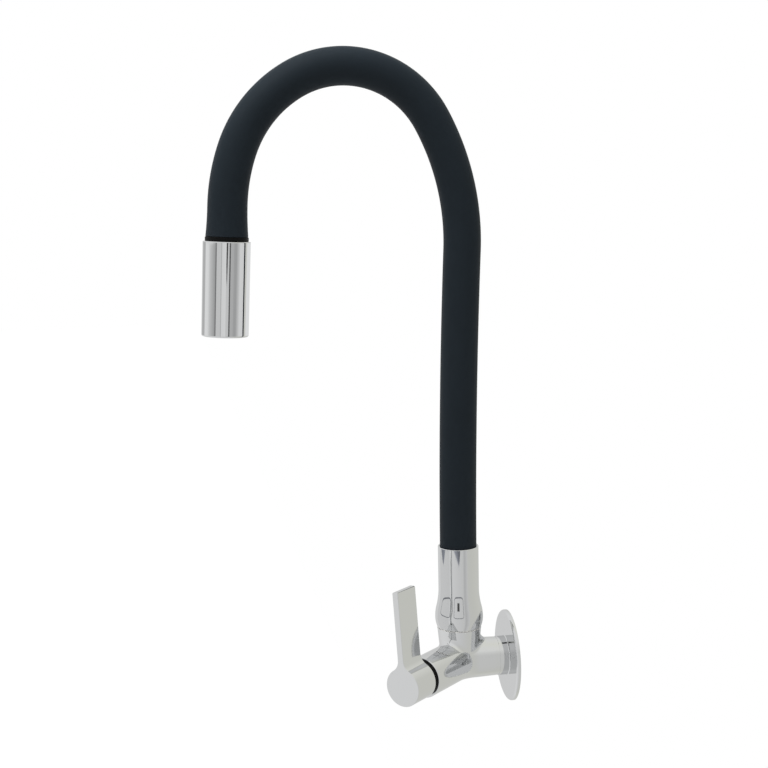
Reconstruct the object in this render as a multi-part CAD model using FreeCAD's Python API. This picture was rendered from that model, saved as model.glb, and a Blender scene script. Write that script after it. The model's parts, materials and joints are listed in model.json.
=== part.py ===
import FreeCAD, Part
import math
import os

# A cold-water tap for a kitchen wall: a cast valve body with a side lever, and a flexible
# spout that stands up, arches over and ends in a spray head.
# Millimetres, +Z up. The origin is on the wall's face at the inlet's axis. The tap stands
# out towards -Y, its lever points out at an angle on the +X side.

V = FreeCAD.Vector

# Clearances
slide_gap = 0.05            # radial, shafts and screwed or pressed pieces
loose_gap = 0.3             # between pieces that turn past each other
face_gap = 0.1              # between flat faces that turn on each other
cut_past = 1.0              # how far a cutting body stands past the skin

# Inlet and wall flange
riser_out = 35.6            # wall to the riser's axis
thread_radius = 10.48       # half-inch pipe thread
thread_length = 15.0        # wall to the thread's tip
thread_runout = 1.0         # wall to the thread's root
thread_chamfer = 1.0
shank_radius = 10.0         # plain shank under the flange
inlet_radius = 13.1
inlet_bore = 7.0
shoulder_out = 9.7          # wall to the step where the flange's collar butts
flange_radius = 31.1
flange_depth = 3.1
flange_sheet = 0.9
flange_corner = 1.6
flange_rim_gap = 0.2
flange_collar_radius = 13.3

# Valve body
barrel_turn = 45.0          # the barrel's turn in plan from straight out of the wall
barrel_radius = 13.7
barrel_end = 46.6           # riser's axis to the barrel's end, along the barrel
elbow_radius = 26.0         # centre line, where the inlet turns into the barrel
riser_radius = 15.1
riser_foot_radius = 12.9    # the riser's root, drawn in below the fillet
riser_height = 23.0
crotch_fillet = 5.0
edge_round = 0.6
neck_radius = 12.3
neck_top = 44.0
neck_bore = 9.1
chamber_radius = 9.9
chamber_floor = 13.5
seat_bore = 5.0
riser_well_floor = 11.5
riser_well_top = 19.7       # where the well reaches the neck's full bore
passage_radius = 3.5
passage_rise = 7.0

# Quarter-turn headwork, places along the barrel from the riser's axis
seat_washer_thick = 2.5
seat_washer_radius = 8.6
disc_thick = 3.0
disc_radius = 7.5
port_radius = 6.0
port_core = 2.0
port_angle = 84.0
drive_slot_width = 3.0
drive_slot_depth = 1.2
foot_radius = 7.2
foot_thick = 3.6
thrust_thick = 1.2
spindle_radius = 4.0
housing_cage_radius = 9.0
housing_screw_start = 30.0
housing_screw_chamfer = 1.0
housing_seal_inset = 2.0
window_length = 4.0
window_width = 9.0
hex_flats = 18.0
hex_thick = 4.4
housing_nose_radius = 6.5
housing_nose = 2.0
seal_wire = 1.6
small_seal_wire = 1.0
spindle_seal_insets = (9.0, 14.0)
clip_thick = 0.8
clip_depth = 0.7
clip_reach = 1.2
clip_opening = 2.4
spline_count = 18
spline_depth = 0.4
spline_length = 8.4
insert_radius = 6.3
insert_length = 9.5
gap_ring_radius = 12.3
gap_ring_thick = 2.5

# Lever
lever_lean = 4.2            # degrees, the lever's lean from upright as it is shut
hub_radius = 12.7
hub_start = 49.4
hub_end = 69.7
hub_wall = 1.8
blade_top = 63.4
blade_thick = 4.4
blade_fillet = 8.0
blade_corner = 1.4
lever_edge_round = 0.45
grub_radius = 2.45
grub_length = 5.0
grub_place = 59.5
grub_key = 2.5

# Swivel and spout collar, heights above the inlet's axis
slip_ring_thick = 0.7
bulge_radius = 16.45
bulge_height = 30.4
bulge_lower_arc = 18.0
flare_arc = 30.0
flare_slope = 14.5
collar_radius = 13.88
collar_top = 80.0
collar_nut_radius = 12.25
collar_mouth_round = 0.4
collar_mouth_slack = 0.15
nipple_bottom = 23.0
nipple_flange_top = 48.0
nipple_barb_top = 66.0
nipple_well_bore = 6.5
water_bore = 3.4
barb_radius = 4.3
barb_ridge = 0.15
barb_root_radius = 6.2
barb_root_length = 3.0
barb_pitch = 3.0
swivel_seal_heights = (34.0, 39.2)
snap_ring_height = 27.8
snap_ring_thick = 1.2
snap_ring_reach = 0.8
snap_ring_depth = 1.0
snap_ring_opening = 4.0
anchor_radius = 12.2
anchor_top = 72.0
anchor_floor = 2.0
ferrule_wall = 0.95
ferrule_length = 14.0
tip_ferrule_length = 12.0

# Spout hose: three layers round one route
sleeve_radius = 12.5
sleeve_bore = 10.0
core_radius = 9.7
core_bore = 8.3
water_hose_radius = 6.3
water_hose_bore = 4.5

# Route of the hose: straight up the riser's axis, then arcs of (radius, turn in degrees).
# A positive turn leans the hose out from the wall, and the last stretch is straight.
route_rise = 60.1
route_arcs = ((4490.0, -2.82), (164.2, 31.03), (65.9, 91.24), (82.8, 40.34), (124.8, 17.11))
route_tail = 19.5

# Where the hose is free to bend, as lengths along the route from the inlet's height
base_bend = (115.0, 185.0)
crown_bend = (405.0, 475.0)
tip_bend = (512.0, 562.0)

# Spray head, places down from its top face
end_ring_radius = 14.15
end_ring_thick = 2.7
head_radius = 15.5
head_foot_radius = 15.35
head_length = 61.6
head_wall = 1.5
head_top_round = 0.7
head_foot_round = 1.2
head_lip_inset = 12.8        # mouth to the inner lip's root
head_lip_bore = 10.5
head_lip_thick = 2.0
aerator_radius = 12.0
aerator_wall = 1.4
aerator_lip = 0.9
aerator_inset = 0.5
connector_stem = 6.9
connector_flange = 7.0
connector_flange_start = 1.6
connector_well = 8.0
tip_anchor_radius = 10.6
tip_anchor_length = 14.0
tip_anchor_floor = 1.4
sleeve_flare_radius = 13.25
barb_length = 16.0
aerator_seal_thick = 1.6
screen_thick = 0.4
screen_pitch = 2.4
screen_hole = 1.6
straightener_thick = 5.4
cell_pitch = 3.0
cell_size = 1.35


def frame(origin, along, up):
    """Placement whose local Z points along a direction and whose local Y points up."""
    side = up.cross(along)
    return FreeCAD.Placement(origin, FreeCAD.Rotation(side, up, along, "ZYX"))


turn = math.radians(barrel_turn)
riser_foot = V(0, -riser_out, 0)
barrel_way = V(math.sin(turn), -math.cos(turn), 0)
inlet_frame = frame(V(0, 0, 0), V(0, -1, 0), V(0, 0, 1))
barrel_frame = frame(riser_foot, barrel_way, V(0, 0, 1))
riser_frame = FreeCAD.Placement(riser_foot, FreeCAD.Rotation())
lean = FreeCAD.Placement(V(0, 0, 0), FreeCAD.Rotation(V(0, 0, 1), lever_lean))
lever_frame = barrel_frame.multiply(lean)


def placed(shape, where):
    """The shape moved from its own frame into the tap's."""
    shape.Placement = where.multiply(shape.Placement)
    return shape


def outline(items):
    """Closed wire in the XZ plane from (radius, height) points.

    An item that holds two points is an arc, through its first point to its second.
    """
    edges = []
    here = V(items[0][0], 0, items[0][1])
    first = here
    for item in items[1:]:
        if isinstance(item[0], tuple):
            middle, end = (V(point[0], 0, point[1]) for point in item)
            edges.append(Part.Arc(here, middle, end).toShape())
        else:
            end = V(item[0], 0, item[1])
            edges.append(Part.LineSegment(here, end).toShape())
        here = end
    if (here - first).Length > 1e-6:
        edges.append(Part.LineSegment(here, first).toShape())
    return Part.Wire(edges)


def outline_xy(items, height):
    """The same kind of outline, laid in the XY plane at a height."""
    wire = outline(items)
    wire.rotate(V(0, 0, 0), V(1, 0, 0), -90)
    wire.translate(V(0, 0, height))
    return wire


def turned(items):
    """Solid of revolution about Z from an outline of (radius, height) points."""
    return Part.Face(outline(items)).revolve(V(0, 0, 0), V(0, 0, 1), 360)


def ring(inner, outer, low, high):
    """Flat ring about Z between two radii and two heights."""
    return turned([(inner, low), (outer, low), (outer, high), (inner, high)])


def rod(radius, low, high):
    """Plain cylinder about Z between two heights."""
    return Part.makeCylinder(radius, high - low, V(0, 0, low))


def o_ring(groove, wire, height):
    """Round-section ring that stands out of a groove of the given radius."""
    return Part.makeTorus(groove + wire / 2, wire / 2, V(0, 0, height))


def corner_arc(centre, radius, start, end):
    """Arc item of an outline: its middle and end points, with angles in degrees."""
    points = []
    for angle in ((start + end) / 2, end):
        way = math.radians(angle)
        points.append((centre[0] + radius * math.cos(way), centre[1] + radius * math.sin(way)))
    return tuple(points)


def prism(corners, low, high):
    """Straight prism along Z over a closed run of (x, y) corners."""
    points = [V(x, y, low) for x, y in corners]
    return Part.Face(Part.makePolygon(points + points[:1])).extrude(V(0, 0, high - low))


def polygon(count, radius, start=0.0):
    """Corners of a regular polygon."""
    ways = [math.radians(start + 360.0 * k / count) for k in range(count)]
    return [(radius * math.cos(way), radius * math.sin(way)) for way in ways]


def star(count, inner, outer):
    """Corners of a spline: outer and inner points by turns."""
    tips = polygon(count, outer)
    roots = polygon(count, inner, 180.0 / count)
    return [corner for pair in zip(tips, roots) for corner in pair]


# The route is a list of stretches in the plane x = 0: its start point, its direction there
# as an angle from straight up, its length, and its curvature.
def route_stretches():
    stretches = []
    y, z, angle = -riser_out, 0.0, 0.0
    stretches.append((y, z, angle, route_rise, 0.0))
    z += route_rise
    for radius, degrees in route_arcs:
        bend = math.radians(degrees)
        curve = math.copysign(1.0 / radius, degrees)
        stretches.append((y, z, angle, radius * abs(bend), curve))
        y -= (math.cos(angle) - math.cos(angle + bend)) / curve
        z += (math.sin(angle + bend) - math.sin(angle)) / curve
        angle += bend
    stretches.append((y, z, angle, route_tail + end_ring_thick, 0.0))
    return stretches


stretches = route_stretches()
hose_end = sum(stretch[3] for stretch in stretches) - end_ring_thick


def on_stretch(stretch, along):
    """Point and angle at a length along one stretch of the route."""
    y, z, angle, _, curve = stretch
    if curve == 0.0:
        return V(0, y - along * math.sin(angle), z + along * math.cos(angle)), angle
    after = angle + along * curve
    y -= (math.cos(angle) - math.cos(after)) / curve
    z += (math.sin(after) - math.sin(angle)) / curve
    return V(0, y, z), after


def on_route(length):
    """Point and forward direction at a length along the whole route."""
    for stretch in stretches:
        if length <= stretch[3] or stretch is stretches[-1]:
            point, angle = on_stretch(stretch, length)
            return point, V(0, -math.sin(angle), math.cos(angle))
        length -= stretch[3]


def route_wire(start, end):
    """Wire of straight runs and tangent arcs between two lengths along the route."""
    edges = []
    passed = 0.0
    for stretch in stretches:
        low = max(start - passed, 0.0)
        high = min(end - passed, stretch[3])
        passed += stretch[3]
        if high - low < 1e-6:
            continue
        ends = [on_stretch(stretch, along)[0] for along in (low, (low + high) / 2, high)]
        if stretch[4] == 0.0:
            edges.append(Part.LineSegment(ends[0], ends[2]).toShape())
        else:
            edges.append(Part.Arc(*ends).toShape())
    return Part.Wire(edges)


def swept(radius, start, end):
    """Round bar along the route."""
    point, way = on_route(start)
    section = Part.Wire(Part.Circle(point, way, radius).toShape())
    return route_wire(start, end).makePipeShell([section], True, False)


def hose(radius, bore, start, end):
    """Tube along the route."""
    return swept(radius, start, end).cut(swept(bore, start, end))


def sleeve(start, end):
    return hose(sleeve_radius, sleeve_bore, start, end)


def core(start, end):
    return hose(core_radius, core_bore, start, end)


def water_hose(start, end):
    return hose(water_hose_radius, water_hose_bore, start, end)


head_place, head_way = on_route(hose_end + end_ring_thick)
head_frame = frame(head_place, head_way, V(1, 0, 0))


# Wall flange and inlet

def wall_flange():
    """Pressed disc with a rolled rim, and the collar that butts on the body's step."""
    rim = flange_radius - flange_sheet
    front = flange_depth
    corner = (flange_radius - flange_corner, front - flange_corner)
    inner_corner = flange_corner - flange_sheet
    inside = thread_radius + loose_gap
    disc = turned([
        (inside, front - flange_sheet),
        (corner[0], front - flange_sheet),
        corner_arc(corner, inner_corner, 90, 0),
        (rim, flange_rim_gap),
        (flange_radius, flange_rim_gap),
        (flange_radius, corner[1]),
        corner_arc(corner, flange_corner, 0, 90),
        (flange_collar_radius + edge_round, front),
        corner_arc((flange_collar_radius + edge_round, front + edge_round), edge_round, 270, 180),
        (flange_collar_radius, shoulder_out),
        (inside, shoulder_out),
    ])
    return placed(disc, inlet_frame)


def flange_gasket():
    """Foam ring between the flange and the wall."""
    edge = flange_radius - flange_corner - face_gap
    pad = ring(thread_radius + loose_gap, edge, 0, flange_depth - flange_sheet)
    return placed(pad, inlet_frame)


# Valve body

def elbow():
    """Inlet pipe, a bend of constant section, and the straight barrel."""
    reach = elbow_radius * math.tan(turn / 2)
    inlet = placed(turned([
        (0, shoulder_out),
        (inlet_radius, shoulder_out),
        (barrel_radius, riser_out - reach),
        (0, riser_out - reach),
    ]), inlet_frame)
    section = Part.Circle(riser_foot + V(0, reach, 0), V(0, 1, 0), barrel_radius).toShape()
    centre = riser_foot + V(elbow_radius, reach, 0)
    knee = Part.Face(Part.Wire(section)).revolve(centre, V(0, 0, 1), barrel_turn)
    barrel = placed(turned([
        (0, reach),
        (barrel_radius, reach),
        (barrel_radius, barrel_end - edge_round),
        corner_arc((barrel_radius - edge_round, barrel_end - edge_round), edge_round, 0, 90),
        (0, barrel_end),
    ]), barrel_frame)
    return inlet.fuse([knee, barrel])


def body_outside():
    """The casting's skin: elbow, riser and the fillet that runs round the riser's root."""
    tall = riser_height + crotch_fillet
    spread = (riser_radius - riser_foot_radius) / riser_height
    riser = placed(turned([
        (0, 0),
        (riser_foot_radius, 0),
        (riser_foot_radius + spread * tall, tall),
        (0, tall),
    ]), riser_frame)
    casting = elbow().fuse(riser).removeSplitter()
    roots = []
    for edge in casting.Edges:
        place = edge.CenterOfMass - riser_foot
        beside = math.hypot(place.x, place.y) < riser_radius
        if beside and 0 < edge.BoundBox.ZMin and edge.BoundBox.ZMax < tall:
            roots.append(edge)
    spare = placed(rod(riser_radius + 2 * crotch_fillet, riser_height, tall), riser_frame)
    return casting.makeFillet(crotch_fillet, roots).cut(spare)


def valve_body():
    """Casting with its pipe thread, riser neck, valve chamber and water passages."""
    body = body_outside()
    shank = placed(turned([
        (0, -thread_length),
        (thread_radius - thread_chamfer, -thread_length),
        (thread_radius, thread_chamfer - thread_length),
        (thread_radius, -thread_runout),
        (shank_radius, -thread_runout),
        (shank_radius, shoulder_out),
        (0, shoulder_out),
    ]), inlet_frame)
    neck = placed(rod(neck_radius, riser_height, neck_top), riser_frame)
    body = body.fuse([shank, neck])
    inlet = placed(rod(inlet_bore, -thread_length, riser_out), inlet_frame)
    knuckle = placed(Part.makeSphere(inlet_bore), riser_frame)
    seat = placed(rod(seat_bore, 0, chamber_floor), barrel_frame)
    chamber = placed(rod(chamber_radius, chamber_floor, barrel_end), barrel_frame)
    well = placed(rod(neck_bore, riser_well_top, neck_top), riser_frame)
    well_foot = placed(turned([
        (0, riser_well_floor),
        (passage_radius, riser_well_floor),
        (neck_bore, riser_well_top),
        (0, riser_well_top),
    ]), riser_frame)
    groove = placed(snap_groove(), riser_frame)
    start = riser_foot + V(0, 0, riser_well_floor + passage_radius)
    end = riser_foot + barrel_way * (chamber_floor + passage_radius) + V(0, 0, passage_rise)
    passage = Part.makeCylinder(passage_radius, (end - start).Length, start, end - start)
    return body.cut([inlet, knuckle, seat, chamber, well, well_foot, groove, passage])


def snap_groove():
    """Groove inside the neck that the nipple's snap ring springs into."""
    outside = neck_bore + snap_ring_reach + loose_gap
    half = snap_ring_thick / 2 + loose_gap
    return rod(outside, snap_ring_height - half, snap_ring_height + half)


# Headwork: places along the barrel, worked out piece by piece from the chamber's floor

fixed_disc_start = chamber_floor + seat_washer_thick
turning_disc_start = fixed_disc_start + disc_thick
foot_start = turning_disc_start + disc_thick
thrust_start = foot_start + foot_thick
cage_ceiling = thrust_start + thrust_thick + face_gap
housing_top = barrel_end + hex_thick + housing_nose
clip_start = housing_top + loose_gap
spline_start = clip_start + clip_thick + loose_gap
insert_start = spline_start + loose_gap
spindle_seals = [cage_ceiling + inset for inset in spindle_seal_insets]
housing_seal_place = housing_screw_start + housing_seal_inset


def seat_washer():
    washer = ring(seat_bore, seat_washer_radius, chamber_floor, fixed_disc_start)
    return placed(washer, barrel_frame)


def ceramic_disc(start, turned_by):
    """Disc with two ports opposite each other."""
    disc = rod(disc_radius, start, start + disc_thick)
    for half in (0, 180):
        port = Part.makeCylinder(port_radius, disc_thick, V(0, 0, start), V(0, 0, 1), port_angle)
        port = port.cut(rod(port_core, start, start + disc_thick))
        port.rotate(V(0, 0, 0), V(0, 0, 1), turned_by + half)
        disc = disc.cut(port)
    return disc


def fixed_disc():
    return placed(ceramic_disc(fixed_disc_start, 0), barrel_frame)


def drive_bar(width, reach, low, high):
    """Bar across the barrel's axis with rounded ends."""
    bar = Part.makeBox(width, 2 * reach, high - low, V(-width / 2, -reach, low))
    return bar.common(rod(reach, low, high))


def turning_disc():
    slot_floor = foot_start - drive_slot_depth
    slot = drive_bar(drive_slot_width, disc_radius + cut_past, slot_floor, foot_start)
    return placed(ceramic_disc(turning_disc_start, 90).cut(slot), barrel_frame)


def spindle():
    """Stem with a driving foot below, two seal grooves, a clip groove and a splined end."""
    stem = rod(spindle_radius, foot_start, spline_start)
    foot = drive_bar(2 * spindle_radius, foot_radius, foot_start, thrust_start)
    tongue_end = foot_start - drive_slot_depth + face_gap
    tongue = drive_bar(drive_slot_width - 2 * slide_gap, foot_radius, tongue_end, foot_start)
    teeth = star(spline_count, spindle_radius - spline_depth, spindle_radius)
    spline = prism(teeth, spline_start, spline_start + spline_length)
    stem = stem.fuse([foot, tongue, spline]).removeSplitter()
    outside = spindle_radius + cut_past
    half = small_seal_wire / 2 + face_gap
    root = spindle_radius - small_seal_wire
    grooves = [ring(root, outside, at - half, at + half) for at in spindle_seals]
    clip_root = spindle_radius - clip_depth
    grooves.append(ring(clip_root, outside, clip_start, clip_start + clip_thick))
    return placed(stem.cut(grooves), barrel_frame)


def thrust_washer():
    """Thrust washer between the spindle's foot and the housing."""
    washer = ring(spindle_radius + slide_gap, foot_radius, thrust_start, thrust_start + thrust_thick)
    return placed(washer, barrel_frame)


def spindle_seals_pair():
    root = spindle_radius - small_seal_wire
    rings = [o_ring(root, small_seal_wire, place) for place in spindle_seals]
    return placed(Part.makeCompound(rings), barrel_frame)


def spindle_clip():
    """Open retaining clip in the spindle's groove."""
    inner = spindle_radius - clip_depth + slide_gap
    clip = ring(inner, spindle_radius + clip_reach, clip_start, clip_start + clip_thick)
    opening = Part.makeBox(clip_opening, spindle_radius * 2, clip_thick)
    opening.translate(V(-clip_opening / 2, 0, clip_start))
    return placed(clip.cut(opening), barrel_frame)


def headwork_housing():
    """Screwed brass housing: caged discs, two side windows, a hexagon and a nose."""
    cage = disc_radius + loose_gap
    bore = spindle_radius + slide_gap
    screw = chamber_radius - slide_gap
    shell = turned([
        (cage, fixed_disc_start + face_gap),
        (housing_cage_radius, fixed_disc_start + face_gap),
        (housing_cage_radius, housing_screw_start - housing_screw_chamfer),
        (screw, housing_screw_start),
        (screw, barrel_end),
        (housing_nose_radius, barrel_end),
        (housing_nose_radius, housing_top),
        (bore, housing_top),
        (bore, cage_ceiling),
        (cage, cage_ceiling),
    ])
    hexagon = prism(polygon(6, hex_flats / math.sqrt(3)), barrel_end, barrel_end + hex_thick)
    shell = shell.fuse(hexagon.cut(rod(housing_nose_radius, barrel_end, housing_top))).removeSplitter()
    half = seal_wire / 2 + face_gap
    seal_low, seal_high = housing_seal_place - half, housing_seal_place + half
    groove = ring(screw - seal_wire, screw + cut_past, seal_low, seal_high)
    window = Part.makeBox(window_width, 2 * chamber_radius, window_length)
    window.translate(V(-window_width / 2, -chamber_radius, foot_start))
    return placed(shell.cut([groove, window]), barrel_frame)


def housing_seal():
    groove = chamber_radius - slide_gap - seal_wire
    return placed(o_ring(groove, seal_wire, housing_seal_place), barrel_frame)


def gap_ring():
    """Black ring that fills the gap between the barrel and the lever's hub."""
    inner = hex_flats / math.sqrt(3) + slide_gap
    band = ring(inner, gap_ring_radius, barrel_end, barrel_end + gap_ring_thick)
    return placed(band, barrel_frame)


# Lever

def spline_insert():
    """Plastic sleeve between the spindle's spline and the lever."""
    sleeve_body = rod(insert_radius, insert_start, insert_start + insert_length)
    inner = spindle_radius - spline_depth + slide_gap
    teeth = star(spline_count, inner, spindle_radius + slide_gap)
    socket_end = spline_start + spline_length + face_gap
    return placed(sleeve_body.cut(prism(teeth, insert_start, socket_end)), barrel_frame)


def lever_outline():
    """Keyhole outline: the hub's circle, drawn by two fillets into the upright blade."""
    half = blade_thick / 2
    side = half + blade_fillet
    height = math.sqrt((hub_radius + blade_fillet) ** 2 - side ** 2)
    share = hub_radius / (hub_radius + blade_fillet)
    away = math.degrees(math.atan2(height, side))
    top = blade_top - blade_corner
    inside = half - blade_corner
    return [
        (-side * share, height * share),
        ((0, -hub_radius), (side * share, height * share)),
        corner_arc((side, height), blade_fillet, 180 + away, 180),
        (half, top),
        corner_arc((inside, top), blade_corner, 0, 90),
        (-inside, blade_top),
        corner_arc((-inside, top), blade_corner, 90, 180),
        (-half, height),
        corner_arc((-side, height), blade_fillet, 0, -away),
    ]


def lever():
    """Hub and blade in one, hollow behind, with the socket for the spline insert."""
    face = outline_xy(lever_outline(), hub_start)
    lever_solid = Part.Face(face).extrude(V(0, 0, hub_end - hub_start))
    rims = [edge for edge in lever_solid.Edges if edge.BoundBox.ZLength < 1e-6]
    lever_solid = lever_solid.makeFillet(lever_edge_round, rims)
    hollow = rod(hub_radius - hub_wall, hub_start, insert_start)
    socket = rod(insert_radius + slide_gap, insert_start, insert_start + insert_length + face_gap)
    grub = Part.makeCylinder(grub_radius + slide_gap, hub_radius, V(0, 0, grub_place), V(0, -1, 0))
    return placed(lever_solid.cut([hollow, socket, grub]), lever_frame)


def grub_screw():
    """Headless screw under the hub that clamps the insert, with its hexagon socket."""
    start = insert_radius + face_gap
    screw = rod(grub_radius, start, start + grub_length)
    key = prism(polygon(6, grub_key / math.sqrt(3)), start + grub_length / 2, start + grub_length)
    down = frame(V(0, 0, grub_place), V(0, -1, 0), V(0, 0, 1))
    return placed(placed(screw.cut(key), down), lever_frame)


# Swivel and spout collar

collar_foot = riser_height + slip_ring_thick + face_gap


def slip_ring():
    """Thin nylon ring that the collar turns on."""
    inner = neck_radius + slide_gap
    washer = ring(inner, riser_radius - slide_gap, riser_height, riser_height + slip_ring_thick)
    return placed(washer, riser_frame)


def collar_outside():
    """Outside of the collar from its foot up: rounded foot, bulge and flare."""
    drop = bulge_height - collar_foot
    sag = bulge_lower_arc - math.sqrt(bulge_lower_arc ** 2 - drop ** 2)
    start = (bulge_radius - sag, collar_foot)
    lower = math.degrees(math.asin(drop / bulge_lower_arc))
    below = corner_arc((bulge_radius - bulge_lower_arc, bulge_height), bulge_lower_arc, -lower, 0)
    above = corner_arc((bulge_radius - flare_arc, bulge_height), flare_arc, 0, flare_slope)
    slope = math.radians(flare_slope)
    fall = above[1][0] - collar_radius
    hollow = fall / (1 - math.cos(slope))
    centre = (collar_radius + hollow, above[1][1] + hollow * math.sin(slope))
    flare = corner_arc(centre, hollow, 180 + flare_slope, 180)
    return [start, below, above, flare]


def spout_collar():
    """Chromed sleeve: it hides the swivel below and holds the hose's foot above."""
    top = collar_top - collar_mouth_round
    nut_start = neck_top + face_gap
    mouth = sleeve_radius + collar_mouth_slack
    clear = neck_radius + loose_gap + slide_gap
    skin = turned([(clear, collar_foot)] + collar_outside() + [
        (collar_radius, top),
        corner_arc((collar_radius - collar_mouth_round, top), collar_mouth_round, 0, 90),
        (mouth, collar_top),
        (mouth, nipple_flange_top + face_gap),
        (collar_nut_radius, nipple_flange_top + face_gap),
        (collar_nut_radius, nut_start),
        (clear, nut_start),
    ])
    return placed(skin, riser_frame)


def barbed(start, end):
    """Outline of a hose tail from its root to its end, a row of low ridges."""
    count = round(abs(end - start) / barb_pitch)
    step = (end - start) / count
    items = []
    for k in range(count):
        items += [(barb_radius + barb_ridge, start + k * step), (barb_radius, start + (k + 1) * step)]
    return items


def swivel_nipple():
    """Brass tail: sealed stem in the neck, flange inside the collar and barbs for the hose."""
    stem = neck_bore - slide_gap
    flange_low = neck_top + loose_gap
    root_top = nipple_flange_top + barb_root_length
    nipple = turned([
        (nipple_well_bore, nipple_bottom),
        (stem, nipple_bottom),
        (stem, flange_low),
        (collar_nut_radius - slide_gap, flange_low),
        (collar_nut_radius - slide_gap, nipple_flange_top),
        (barb_root_radius, nipple_flange_top),
        (barb_root_radius, root_top),
    ] + barbed(root_top, nipple_barb_top) + [
        (water_bore, nipple_barb_top),
        (water_bore, neck_top),
        (nipple_well_bore, neck_top - nipple_well_bore),
    ])
    outside = stem + cut_past
    half = seal_wire / 2 + face_gap
    cuts = [ring(stem - seal_wire, outside, at - half, at + half) for at in swivel_seal_heights]
    half = snap_ring_thick / 2 + face_gap
    snap_low, snap_high = snap_ring_height - half, snap_ring_height + half
    cuts.append(ring(stem - snap_ring_depth, outside, snap_low, snap_high))
    return placed(nipple.cut(cuts), riser_frame)


def swivel_seals():
    stem = neck_bore - slide_gap
    rings = [o_ring(stem - seal_wire, seal_wire, at) for at in swivel_seal_heights]
    return placed(Part.makeCompound(rings), riser_frame)


def snap_ring():
    """Open spring ring that keeps the nipple in the neck."""
    inner = neck_bore - slide_gap - snap_ring_depth
    low = snap_ring_height - snap_ring_thick / 2
    snap = ring(inner + slide_gap, neck_bore + snap_ring_reach, low, low + snap_ring_thick)
    opening = Part.makeBox(snap_ring_opening, neck_bore * 2, snap_ring_thick)
    opening.translate(V(-snap_ring_opening / 2, 0, low))
    return placed(snap.cut(opening), riser_frame)


def hose_anchor():
    """Steel cup on the nipple's flange that holds the foot of the flexible core."""
    low = nipple_flange_top
    cup = turned([
        (water_hose_radius + ferrule_wall + 2 * slide_gap, low),
        (anchor_radius, low),
        (anchor_radius, anchor_top),
        (core_radius + slide_gap, anchor_top),
        (core_radius + slide_gap, low + anchor_floor),
        (water_hose_radius + ferrule_wall + 2 * slide_gap, low + anchor_floor),
    ])
    return placed(cup, riser_frame)


def foot_ferrule():
    """Crimped band round the water hose on the nipple's barbs."""
    low = nipple_flange_top + barb_root_length + face_gap
    band = ring(water_hose_radius + slide_gap, water_hose_radius + ferrule_wall, low, low + ferrule_length)
    return placed(band, riser_frame)


sleeve_foot = anchor_top + loose_gap
core_foot = nipple_flange_top + anchor_floor
water_hose_foot = nipple_flange_top + barb_root_length


# Spray head: local Z runs down the head from its top face

core_end = -(end_ring_thick + loose_gap + tip_anchor_floor)


def sleeve_tip():
    """The sleeve's last stretch, stretched over the anchor and so a little wider."""
    straight = hose_end - route_tail
    bent = hose(sleeve_radius, sleeve_bore, tip_bend[1], straight)
    top = -(route_tail + end_ring_thick)
    over = core_end - tip_anchor_length
    end = turned([
        (sleeve_bore, top),
        (sleeve_radius, top),
        (sleeve_flare_radius, -end_ring_thick),
        (tip_anchor_radius + slide_gap, -end_ring_thick),
        (tip_anchor_radius + slide_gap, over),
        (sleeve_bore, over),
    ])
    return bent.fuse(placed(end, head_frame)).removeSplitter()


def tip_anchor():
    """Steel cup that holds the head end of the flexible core."""
    low = -(end_ring_thick + loose_gap)
    cup = turned([
        (connector_stem + slide_gap, low),
        (tip_anchor_radius, low),
        (tip_anchor_radius, core_end - tip_anchor_length),
        (core_radius + slide_gap, core_end - tip_anchor_length),
        (core_radius + slide_gap, core_end),
        (connector_stem + slide_gap, core_end),
    ])
    return placed(cup, head_frame)


def tip_ferrule():
    high = core_end - face_gap
    low = high - tip_ferrule_length
    band = ring(water_hose_radius + slide_gap, water_hose_radius + ferrule_wall, low, high)
    return placed(band, head_frame)


def end_ring():
    """Black ring between the hose and the head."""
    return placed(ring(connector_stem + loose_gap, end_ring_radius, -end_ring_thick, 0), head_frame)


def head_connector():
    """Brass tail in the hose, through the ring, with the flange that the shell screws on."""
    flange = head_radius - head_wall - slide_gap
    low = connector_flange_start
    piece = turned([
        (connector_well, low + connector_flange),
        (flange, low + connector_flange),
        (flange, low),
        (connector_stem, low),
        (connector_stem, core_end),
    ] + barbed(core_end, core_end - barb_length) + [
        (water_bore, core_end - barb_length),
        (water_bore, low),
    ])
    middle = low + connector_flange / 2
    half = seal_wire / 2 + face_gap
    groove = ring(flange - seal_wire, flange + cut_past, middle - half, middle + half)
    return placed(piece.cut(groove), head_frame)


def connector_seal():
    flange = head_radius - head_wall - slide_gap
    middle = connector_flange_start + connector_flange / 2
    return placed(o_ring(flange - seal_wire, seal_wire, middle), head_frame)


lip_start = head_length - head_lip_inset
lip_end = lip_start + head_lip_thick + head_wall


def head_shell():
    """Chromed barrel of the head with an inner lip that the aerator seats on."""
    inner = head_radius - head_wall
    top = head_radius - head_top_round
    foot = head_foot_radius - head_foot_round
    mouth = aerator_radius + slide_gap
    shell = turned([
        (connector_stem + slide_gap, 0),
        (top, 0),
        corner_arc((top, head_top_round), head_top_round, -90, 0),
        (head_foot_radius, head_length - head_foot_round),
        corner_arc((foot, head_length - head_foot_round), head_foot_round, 0, 90),
        (mouth, head_length),
        (mouth, lip_end),
        (head_lip_bore, lip_end),
        (head_lip_bore, lip_start + head_wall),
        (inner, lip_start),
        (inner, connector_flange_start - face_gap),
        (connector_stem + slide_gap, connector_flange_start - face_gap),
    ])
    return placed(shell, head_frame)


aerator_start = lip_end + aerator_seal_thick
aerator_end = head_length - aerator_inset
screen_start = aerator_start + face_gap
straightener_start = aerator_end - aerator_lip - straightener_thick


def aerator_seal():
    washer = ring(head_lip_bore - head_wall, aerator_radius - slide_gap, lip_end, aerator_start)
    return placed(washer, head_frame)


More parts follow.
